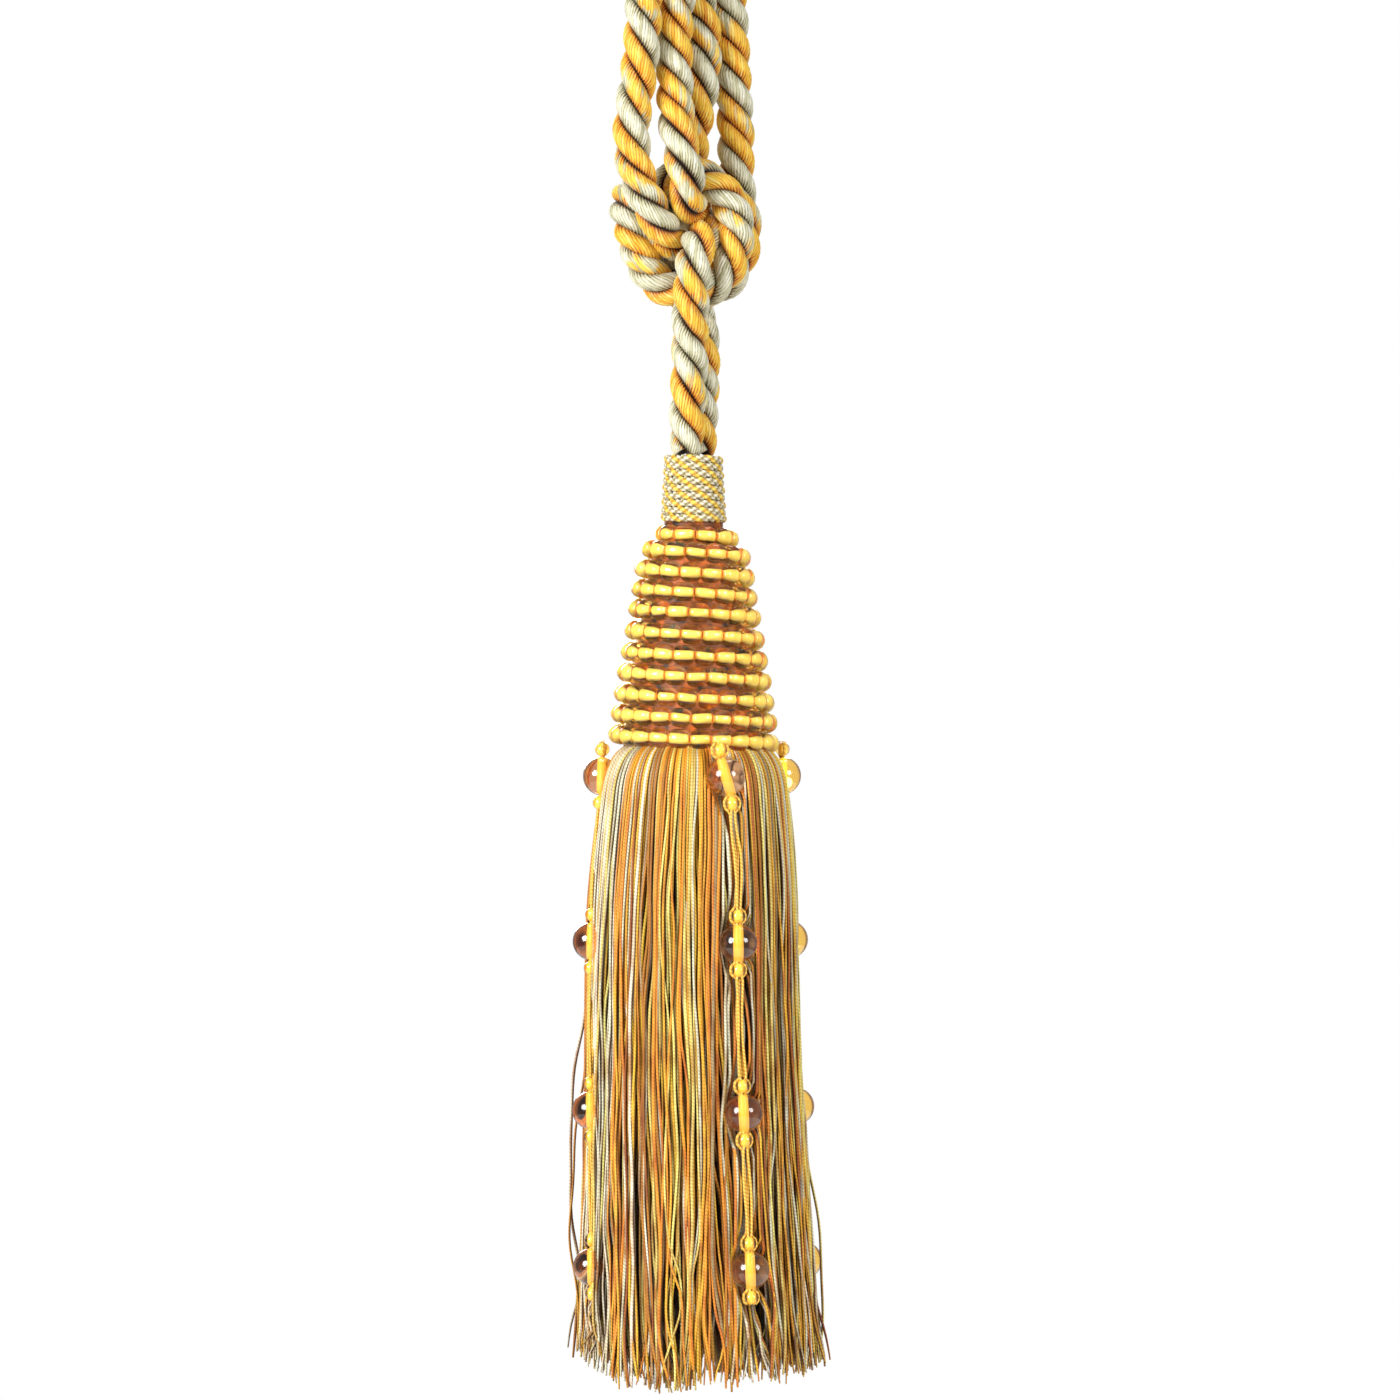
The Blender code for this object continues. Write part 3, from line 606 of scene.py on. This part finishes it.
def clear_glass(name, colour, polish):
    """Drawn glass, fire-polished: clear, bending light, with bright glints. Lamps shine through it."""
    glassy = {"IOR": 1.5, "Transmission_Weight": 1, "Coat_Weight": polish, "Coat_Roughness": 0.12}
    made, tree, shader = new_material(name, Base_Color=linear(colour), Roughness=0.03, **glassy)
    to_lamp = add_node(tree, "LightPath").outputs["Is Shadow Ray"]
    both = add_node(tree, "MixShader", [to_lamp, shader, add_node(tree, "BsdfTransparent")])
    fill_inputs(tree.nodes["Material Output"], {"Surface": both})
    return made


def lining_enamel(name, light, dark, painted_glow=0):
    """Opaque enamel baked in a bead's bore: even colour, a little mottled.

    It gives off painted light of its own, so that it looks bright inside the glass."""
    # painted light: the enamel gives off light though it is no lamp
    painted_glow_settings = {"Emission_Color": linear(light), "Emission_Strength": painted_glow}
    made, tree, shader = new_material(name, Roughness=0.35, Coat_Weight=0.3, Coat_Roughness=0.2, **painted_glow_settings)
    body = add_node(tree, "TexCoord").outputs["Object"]
    patches = add_node(tree, "TexNoise", {"Vector": body, "Scale": 420, "Detail": 2})
    shade = add_node(tree, "Mix", {"Factor": patches, 6: linear(dark), 7: linear(light)}, data_type="RGBA")
    fill_inputs(shader, {"Base Color": shade})
    return made


def wound_silk():
    """Silk wound flat round the wooden head: orange, painted shade in dark 3 mm patches, a rib every 0.6 mm.
    """
    made, tree, shader = new_material(
        "wound_orange_silk", Roughness=0.5, Sheen_Weight=0.2, Sheen_Roughness=0.4
    )
    body = add_node(tree, "TexCoord").outputs["Object"]
    # painted shade: dark patches, from near black to orange
    patches = add_node(tree, "TexNoise", {"Vector": body, "Scale": 330, "Detail": 3})
    tone = add_node(tree, "ValToRGB", {"Fac": patches})
    spread_colours(tone.color_ramp, ("#180C06", "#361C0A", "#703602", "#C45E00", "#F08E08"))
    tone.color_ramp.elements[0].position = 0.38
    tone.color_ramp.elements[4].position = 0.72
    split = add_node(tree, "SeparateXYZ", {"Vector": body})
    rib = add_node(tree, "Math", [split.outputs["Z"], TURN / 0.0006], "MULTIPLY")
    rib = add_node(tree, "Math", [rib], "SINE")
    bump = add_node(tree, "Bump", {"Height": rib, "Strength": 0.4, "Distance": 0.00008})
    fill_inputs(shader, {"Base Color": tone, "Normal": bump})
    return made


def bead_place(turn):
    """Where the string of beads runs, after so many turns round the head."""
    return around(360 * turn, column(BEAD_ROWS, turn, 2), column(BEAD_ROWS, turn, 1))


def build_bead_winding():
    """One string of lined glass beads wound eleven times round the head, on the thread-wound head."""
    chance = np.random.default_rng(3)
    fine = np.linspace(*BEAD_WINDING_TURNS, 4000)
    run = run_along(bead_place(fine))
    beads = int(run[-1] / BEAD_LENGTH)
    ends = bead_place(np.interp(np.arange(beads + 1) * BEAD_LENGTH, run, fine))
    # the beads aren't all of one size, and none lies quite straight
    tilt = chance.uniform(-1, 1, (beads, 3)) * (0.12, 0.12, 0.3)
    size = chance.uniform(0.97, 1.02, beads)
    bore = chance.uniform(0.84, 1.14, beads)
    line = ends[:-1] - tilt, ends[1:] + tilt
    glass, lining = [], []
    for scale, hole in zip(size, bore):
        glass.append([(0.5 + share, wide * scale) for share, wide in BEAD_OUTLINE])
        reach, wide = LINING_SHARE * min(hole, 1), LINING_RADIUS * hole
        edge = 0.7 * wide
        lining.append([(0.5 - reach, edge), (0.53 - reach, wide), (0.47 + reach, wide), (0.5 + reach, edge)])
    glass, lining = turned_skins(glass, 16, *line), turned_skins(lining, 12, *line)
    knot = [(0, 1.5), (0.05, 1.5), (0.08, 0.45), (0.92, 0.45), (0.95, 1.5), (1, 1.5)]
    string = turned_skins(knot, 8, ends[:-1], ends[1:])
    finishes = [
        clear_glass("drawn_pale_glass", "#F4E0AA", 0),
        lining_enamel("cream_gold_bead_lining", "#F8EE8C", "#DCC250"),
        plied_thread("orange_beading_thread", "#F8A436", "#DE7A1C", 0.45),
    ]
    beading = mesh_piece("bead_winding_string", [(glass, 0), (lining, 1), (string, 2)], finishes)
    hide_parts("bead_winding")

    heights = np.linspace(HEAD_TOP, HEAD_FOOT + 1, 60)
    rows = [(row[1], row[2]) for row in BEAD_ROWS]
    radii = np.maximum(column(rows, heights, 1) - HEAD_DEPTH, 9.3)
    outline = [((HEAD_TOP - z) / (HEAD_TOP - HEAD_FOOT), r) for z, r in zip(heights, radii)]
    outline += [(0.995, 20.4), (1, 16)]
    head = turned_skins(outline, 72, [(0, 0, HEAD_TOP)], [(0, 0, HEAD_FOOT)])
    head = mesh_piece("wound_head", [(head, 0)], [wound_silk()])
    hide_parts("tassel_skirt")


def drop_azimuth(drop, height):
    """Where round the skirt a drop hangs at these heights."""
    _, top, below, foot, _ = drop
    return np.interp(height, (SKIRT_HEM, DROP_BELOW_SHOULDER, DROP_TOP), (foot, below, top))


def drop_place(drop, height):
    """Where the middle of a drop's thread runs."""
    middle, out = column(SKIRT, height, 2), column(SKIRT, height, 3)
    above = height - BIG_BEAD_HEIGHTS[0]
    lean = FIRST_BEAD_LEAN.get(drop[0], 0) * above / BIG_BEAD_HALF * np.exp(-((above / 9) ** 2))
    return around(drop_azimuth(drop, height) - np.degrees(lean / out), out, height, middle)


def skirt_yarn():
    """Viscose cut fringe, hard twisted from two plies: silky, ribbed every 1.1 mm.

    Each thread has its own colour. Along its length the dye runs from pale to deep, darker further down;
    painted shade lies in patches over bunches, on its flanks and rib troughs, and on the threads inside."""
    made, tree, shader, round_it, along = new_yarn("cut_viscose_fringe", 0.42, 0.45, 0.15)
    own = add_node(tree, "Attribute", attribute_name="thread_colour")
    # dye in 14 mm patches on each thread by itself, and painted bunch shade in 6 mm patches over all of them
    number = add_node(tree, "Math", [own.outputs["Alpha"], 90], "MULTIPLY")
    run = add_node(tree, "Math", [along, 1 / 14], "MULTIPLY")
    spot = add_node(tree, "CombineXYZ", {"X": number, "Y": run})
    dye_and_shade = add_node(tree, "TexNoise", {"Vector": spot, "Scale": 1, "Detail": 3})
    body = add_node(tree, "TexCoord").outputs["Object"]
    bunch_shade = add_node(tree, "TexNoise", {"Vector": body, "Scale": 160, "Detail": 2})
    dye_and_shade = add_node(tree, "Math", [bunch_shade, 0.3, dye_and_shade], "MULTIPLY_ADD")
    dye_and_shade = add_node(tree, "MapRange", [dye_and_shade, 0.56, 0.86])
    # the dye and the painted bunch shade are deeper further down the thread
    deeper_further_down = add_node(tree, "MapRange", [along, 5, 130, 0.5])
    dye_and_shade = add_node(tree, "Math", [dye_and_shade, deeper_further_down], "MULTIPLY")
    # multiplied in as a tan, for the dye and the painted shade alike
    dyed_and_shaded = {"Factor": dye_and_shade, 6: own, 7: linear("#B8843A")}
    colour = add_node(tree, "Mix", dyed_and_shaded, data_type="RGBA", blend_type="MULTIPLY")
    # the ribs of one thread are out of step with its neighbours'; their troughs get painted shade
    slant = add_node(tree, "Math", [along, 1 / 1.1, round_it], "MULTIPLY_ADD")
    slant = add_node(tree, "Math", [slant, number], "ADD")
    wave = add_node(tree, "Math", [slant, TURN], "MULTIPLY")
    wave = add_node(tree, "Math", [wave], "SINE")
    tone = add_node(tree, "MapRange", {"Value": wave, "From Min": -1, "To Min": 0.64})
    # painted shade on the thread's flanks, where they lie against its neighbours
    flank_shade = add_node(tree, "Math", [round_it, TURN], "MULTIPLY")
    flank_shade = add_node(tree, "Math", [flank_shade], "COSINE")
    flank_shade = add_node(tree, "MapRange", [flank_shade, -0.1, 0.75, 0.14])
    tone = add_node(tree, "Math", [tone, flank_shade], "MULTIPLY")
    shade = add_node(tree, "Mix", {"Factor": tone, 6: linear("#562404"), 7: colour}, data_type="RGBA")
    # painted shade on the threads inside, under the beads and in the furrows, from the depth mark
    depth = add_node(tree, "Attribute", attribute_name="depth").outputs["Fac"]
    shade = add_node(tree, "Mix", {"Factor": depth, 6: shade, 7: linear("#200A01")}, data_type="RGBA")
    bump = add_node(tree, "Bump", {"Height": wave, "Strength": 0.45, "Distance": 0.00007})
    fill_inputs(shader, {"Base Color": shade, "Normal": bump})
    return made


def near_any(height, places, size, power=4):
    """1 at each of these heights and 0 well away from them; size is how soon it falls."""
    return np.max([np.exp(-(((height - place) / size) ** power)) for place in places], axis=0)


def beside_drop(drop, azimuth, radius, height, size):
    """How far to the right of a drop the threads lie, and how far off they stay, less on its right."""
    turn = np.radians(azimuth - drop_azimuth(drop, height))
    aside = radius * np.arctan2(np.sin(turn), np.cos(turn))
    return aside, np.where(aside > 0, np.minimum(size, drop[4]), size)


def above_hem(height):
    """0 at the hem, where the drops have ended, and 1 from 22 mm above it."""
    return np.clip((height - SKIRT_HEM) / 22, 0, 1)


def furrow(azimuth, radius, height, out):
    """How far a thread lies in, under the drops: half round behind a big bead, shallower between two."""
    deep = np.zeros(azimuth.shape)
    size = (1.9 + 4.7 * near_any(height, BIG_BEAD_HEIGHTS, 11, 2)) * above_hem(height)
    for drop in DROPS:
        aside, half = beside_drop(drop, azimuth, radius, height, size)
        room = np.sqrt(np.clip(half**2 - aside**2, 0, None))
        proud = np.clip(radius - out, 0, None) * np.clip(room / 1.5, 0, 1)
        deep = np.maximum(deep, proud + room)
    return deep


def opened(azimuth, radius, height):
    """Threads moved apart by the drops, at the dark channel by the front drop and at slits all round."""
    chance = np.random.default_rng(11)
    ranges = ((-180, 180), SLIT_HEIGHTS, SLIT_LENGTHS, SLIT_WIDTHS)
    slits = [chance.uniform(least, most, SLITS) for least, most in ranges]
    slits.append(chance.normal(0, 0.04, SLITS))
    aside = radius * np.radians(azimuth - column(CHANNEL, height, 1))
    shift = np.tanh(aside / 0.5) * column(CHANNEL, height, 2) * np.exp(-((aside / 4.5) ** 2))
    size = 1.5 + 2.6 * near_any(height, BIG_BEAD_HEIGHTS, 13, 2)
    for drop in DROPS:
        aside, half = beside_drop(drop, azimuth, radius, height, size)
        push = 0.26 * half * np.tanh(aside / 1.2) * np.exp(-((aside / half) ** 2))
        shift = shift + push * (np.clip((-302 - height) / 20, 0, 1) * above_hem(height))
    for middle, at, length, width, slant in zip(*slits):
        aside = radius * np.radians(half_circle(azimuth - middle)) - slant * (height - at)
        open_here = width * np.exp(-(((height - at) / length) ** 2) - (aside / 3) ** 2)
        shift = shift + np.tanh(aside / 0.7) * open_here
    return azimuth + np.degrees(shift / np.maximum(radius, 6))


def skirt_threads(chance, count, depth, stops, short):
    """Lines of one layer of threads, from under the last beads over the shoulder to the hem.

    Also says where each starts, how far along it each point is, and how deep it lies in a furrow."""
    fall = [(radius, 0, height, 0) for radius, height in SHOULDER]
    fall += [(row[1], 0, row[0], 0) for row in SKIRT if row[0] < BELOW_SHOULDER]
    fall.append((HEM_RADIUS, 0, SKIRT_HEM, 0))
    points, length, _ = smooth_curve(fall)
    each = (count, 1)
    share = np.linspace(0, 1, stops) ** 1.15
    start = (np.arange(count) + chance.uniform(-0.35, 0.35, count)) * 360 / count
    # cut nearly to one line: some threads are short, a few hang out
    cut = SKIRT_HEM - column(HEM_LINE, half_circle(start), 1) + chance.normal(0, 0.9, count)
    luck = chance.uniform(0, 1, count)
    cut -= np.where(luck < CUT_SHORT, chance.uniform(0, short, count), 0) + (2.5 if depth > 2 else 0)
    cut += np.where(luck > 1 - HANG_OUT, chance.uniform(1, 3.5, count), 0)
    reach = (length[-1] + cut)[:, None] * share
    radius = np.interp(reach, length, points[:, 0])
    height = np.interp(reach, length, points[:, 2]) - np.clip(reach - length[-1], 0, None)
    hang = np.clip((reach - 20) / (length[-1] - 20), 0, 1)
    sink = depth + chance.normal(0, 0.25, count)
    ease = np.clip(reach / 22, 0, 1)
    radius = radius - sink[:, None] * (0.3 + 0.7 * ease)
    # threads cling together in bunches of three or four, more so further down, which opens gaps between
    bunches = np.sort(chance.uniform(-180, 180, round(count / CLING_THREADS)))
    nearest = bunches[np.argmin(abs(half_circle(start[:, None] - bunches)), axis=1)]
    toward = np.clip(half_circle(nearest - start), -3, 3)
    angle = np.radians(start)[:, None]
    sway = np.radians(toward)[:, None] * radius * CLING * hang**0.5
    # threads sway in bunches, and each by itself: in long bends, and in short ones of 30 to 60 mm
    for groups, size in BUNCH_SWAYS:
        swing = chance.uniform(2, 9)
        sway += size * np.sin(groups * angle + chance.uniform(0, TURN) + swing * hang) * hang**0.8
    for size, slow, fast in OWN_SWAYS:
        swing = chance.uniform(slow, fast, each)
        sway += size * np.sin(swing * hang + chance.uniform(0, TURN, each)) * hang**0.5
        lift = np.sin(swing * hang * 1.3 + chance.uniform(0, TURN, each))
        radius += 0.55 * size * lift * hang**0.5 * ease
    # every fourth thread crosses its neighbours, over or under them
    crosses = np.clip(chance.normal(0, 2, each), -2.6, 2.6)
    crosses *= chance.uniform(0, 1, each) < 0.24
    bend = np.sin(chance.uniform(6, 16, each) * hang + chance.uniform(0, TURN, each))
    sway += crosses * bend * hang**0.5
    radius += np.where(crosses > 0, 0.5, np.where(crosses < 0, -0.6, 0)) * ease * hang**0.3
    # a few stand off the rest in a long bow
    loose = np.random.default_rng(count)
    bow = (hang - loose.uniform(0.4, 0.95, each)) / loose.uniform(0.1, 0.2, each)
    off = np.where(loose.uniform(0, 1, each) < STRAY_SHARE, loose.uniform(0.6, 2.4, each), 0)
    radius += off * np.exp(-(bow**2))
    for azimuth, at, part, out in STRAYS if depth < 1 else ():
        thread = np.argmin(abs(half_circle(start - azimuth)))
        radius[thread] += out * np.exp(-(((hang[thread] - at) / part) ** 4))
    # the cut ends spread
    tip = np.clip(1 - (length[-1] + cut[:, None] - reach) / 26, 0, 1)
    sway += chance.normal(0, 0.8, each) * hang**2 + chance.normal(0, 2.1, each) * tip**1.8
    radius += chance.normal(0, 0.9, each) * tip**1.8
    azimuth = start[:, None] + np.degrees(sway / np.maximum(radius, 6))
    middle, out = column(SKIRT, height, 2), column(SKIRT, height, 3)
    azimuth = opened(half_circle(azimuth), radius, height)
    sunk = furrow(azimuth, radius, height, out) * ease
    lines = around(azimuth, radius - sunk, height, middle)
    return lines, start, reach, sunk


def thread_marks(chance, start, shade, down, corners):
    """Colour and painted shade of each thread; the colour's alpha is a number of its own for its dye."""
    count, stops = down.shape
    each = (count, 1)
    colours = np.array([linear(colour)[:3] for colour in SKIRT_COLOURS])
    weights = np.stack([column(SKIRT_BANDS, half_circle(start), i) for i in range(1, 6)], axis=-1)
    steps = np.cumsum(weights / weights.sum(axis=1, keepdims=True), axis=1)
    pick = (chance.uniform(0, 1, each) > steps).sum(axis=1).clip(0, 4)
    tint = np.minimum(colours[pick] * chance.uniform(0.84, 1.26, each), linear("#FFF5D8")[:3])
    tint *= np.where(chance.uniform(0, 1, each) < DARK_SHARE, (0.52, 0.38, 0.24), 1)
    tint = np.hstack([tint, chance.uniform(0, 1, each)])
    along, ends = np.repeat(tint, stops * corners, axis=0), np.repeat(tint, 2, axis=0)
    return {
        "thread_colour": np.vstack([along, ends]),
        "depth": np.hstack([np.repeat(down.ravel(), corners), np.repeat([shade], 2 * count)]),
    }


def build_skirt():
    """The skirt's threads, in layers round the tassel; those further in get more painted shade."""
    chance = np.random.default_rng(7)
    yarn = skirt_yarn()
    for name, count, depth, size, stops, corners, shade in THREAD_LAYERS:
        lines, start, reach, sunk = skirt_threads(chance, count, depth, stops, 7 if depth < 4 else 16)
        outward = around(start, 1, 0)[:, None] * np.ones((1, stops, 1))
        aside = np.cross(outward, (0, 0, 1))
        facing = np.cross(aside, directions(lines))
        # a thread is thinner where it comes loose at its cut end
        to_end = reach[:, -1:] - reach
        taper = 1 - 0.4 * np.clip(1 - to_end / 10, 0, 1)
        thick = size * chance.uniform(0.72, 1.22, (count, 1)) * taper
        rings = tube_rings(lines, thick[..., None], facing, corners)
        # just under the beads and in a drop's furrow every thread gets painted shade
        bead_shade = np.maximum(np.clip(1 - reach / UNDER_BEADS, 0, 1) ** 1.5, 0.95 * np.clip(sunk / 4.5, 0, 1))
        down = shade + np.maximum(0.7 - shade, 0) * bead_shade
        # the painted shade eases at the cut ends, where light gets in
        down = down * (1 - 0.5 * np.clip(1 - to_end / 14, 0, 1))
        marks = thread_marks(chance, start, shade, down, corners)
        piece = mesh_piece(name, [(skins(rings, reach), 0)], [yarn], marks)
        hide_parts("tassel_skirt")


def build_drops():
    """Four strings of beads that hang down over the skirt.

    Four fine threads go through the big beads. Two of them part round each small bead, the others go
    through it, and between two big beads they hang a little apart."""
    gold_thread = plied_thread("gold_beading_thread", "#FFD860", "#E0A030", 0.4)
    small_glass = clear_glass("drawn_honey_glass", "#FBDC8C", 0.5)
    # the linings give off painted light of their own
    small_lining = lining_enamel("gold_small_bead_lining", "#FFDE70", "#EDB040", 0.05)
    lining = lining_enamel("gold_bead_lining", "#FFF272", "#FFE04C", 0.42)
    dark_amber = clear_glass("polished_dark_amber_glass", "#D08C5E", 0.7)
    honey = clear_glass("polished_honey_glass", "#FFCC58", 1)
    bigs = np.array(BIG_BEAD_HEIGHTS)
    smalls = (bigs[:, None] + (SMALL_BEAD_OFFSET, -SMALL_BEAD_OFFSET)).ravel()
    for drop in DROPS:
        name = drop[0]
        height = np.linspace(DROP_TOP, smalls[-1] - SMALL_BEAD_HALF, 220)
        line = drop_place(drop, height)
        outward = around(drop_azimuth(drop, height), 1, 0)
        aside = np.cross(directions(line), outward)
        bores = near_any(height, BIG_BEAD_HEIGHTS, BIG_BEAD_HALF + 1.6)
        loops = near_any(height, smalls, 2.3)
        slack = (1 - bores) * (1 - loops)
        threads = []
        for side, through in ((1, 1), (-1, 1), (1, 0), (-1, 0)):
            apart = DROP_THREAD_RADIUS + (0.1 + 0.35 * through) * slack
            apart = apart + loops * (0 if through else SMALL_BEAD_RADIUS - 0.1)
            wave = 0.35 * slack * np.sin(height / 5.5 + 2.1 * through + side)
            lift = 0.4 * (1 if through else -1) * (1 - 0.6 * bores)
            threads.append(line + (side * apart + wave)[:, None] * aside + lift[:, None] * outward)
        threads = np.array(threads)
        rings = tube_rings(threads, DROP_THREAD_RADIUS, threads - line + 1e-3, 6)
        tops, feet = drop_place(drop, bigs + BIG_BEAD_HALF), drop_place(drop, bigs - BIG_BEAD_HALF)
        ends = drop_place(drop, smalls + SMALL_BEAD_HALF), drop_place(drop, smalls - SMALL_BEAD_HALF)
        arc = np.linspace(-1.3, 1.3, 9)
        small = [(0.5 + 0.52 * math.sin(a), SMALL_BEAD_RADIUS * math.cos(a)) for a in arc]
        core = [(0.02, 1), (0.98, 1)]
        parts = [
            (skins(rings, DROP_TOP - height), 0),
            (turned_skins(small, 16, *ends), 1),
            (turned_skins(core, 12, *ends), 2),
        ]
        string = mesh_piece(name + "_thread", parts, [gold_thread, small_glass, small_lining])
        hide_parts(name + "_string")
        arc = np.linspace(-1.25, 1.25, 17)
        big = [(0.5 + 0.527 * math.sin(a), BIG_BEAD_RADIUS * math.cos(a)) for a in arc]
        tube = [(0.005, 1.1), (0.995, 1.1)]
        glass = honey if name in HONEY_DROPS else dark_amber
        for number, (top, below) in enumerate(zip(tops, feet), 1):
            bead = turned_skins(big, 32, [top], [below])
            bore = turned_skins(tube, 16, [top], [below])
            made = mesh_piece(f"{name}_glass_{number}", [(bead, 0), (bore, 1)], [glass, lining])
            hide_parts(f"{name}_bead_{number}")


def add_camera():
    """Straight ahead of the tassel, with the photograph's frame."""
    camera = bpy.data.cameras.new("camera")
    camera.sensor_width = SENSOR
    camera.lens = SENSOR * CAMERA_DISTANCE / (PHOTO_WIDTH * MM)
    stand = new_object("camera", camera)
    stand.location = (PHOTO_MIDDLE[0] * MM, -CAMERA_DISTANCE, PHOTO_MIDDLE[1] * MM)
    stand.rotation_euler = (math.radians(90), 0, 0)
    bpy.context.scene.camera = stand


def add_studio():
    """White all round, also through glass; wide round lamps; a floor under the tassel."""
    for name, place, width, watts in LAMPS:
        lamp = bpy.data.lights.new(name, "AREA")
        lamp.shape = "DISK"
        lamp.size = width
        lamp.energy = watts
        stand = new_object(name, lamp)
        stand.location = place
        stand.rotation_euler = (Vector(LAMPS_AIM) - Vector(place)).to_track_quat("-Z", "Y").to_euler()
    world = bpy.data.worlds.new("white_room")
    world.use_nodes = True
    tree = world.node_tree
    tree.nodes.clear()
    seen = add_node(tree, "LightPath").outputs
    room = add_node(tree, "Background", {"Color": linear("#FFFFFF"), "Strength": ROOM_LIGHT})
    white = add_node(tree, "Background", {"Color": linear("#FFFFFF")})
    clear = add_node(tree, "Math", [seen["Is Camera Ray"], seen["Is Transmission Ray"]], "MAXIMUM")
    both = add_node(tree, "MixShader", [clear, room, white])
    add_node(tree, "OutputWorld", {"Surface": both})
    bpy.context.scene.world = world
    bpy.context.scene.view_settings.view_transform = "Standard"
    bpy.ops.mesh.primitive_cylinder_add(vertices=96, radius=0.6, depth=0.02, location=(0, 0, -0.61))
    floor = bpy.context.object
    floor.name = "floor"
    pale, _, _ = new_material("pale_painted_floor", Base_Color=linear("#EDEBE6"), Roughness=0.7)
    floor.data.materials.append(pale)


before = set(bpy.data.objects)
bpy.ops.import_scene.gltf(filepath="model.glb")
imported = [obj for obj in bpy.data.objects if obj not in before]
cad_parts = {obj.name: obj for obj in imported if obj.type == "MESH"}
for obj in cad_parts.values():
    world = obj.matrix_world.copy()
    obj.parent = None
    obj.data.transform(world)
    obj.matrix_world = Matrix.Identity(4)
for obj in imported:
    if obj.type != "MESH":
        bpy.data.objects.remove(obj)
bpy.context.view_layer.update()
add_camera()
build_rope()
build_neck()
build_bead_winding()
build_skirt()
build_drops()
add_studio()
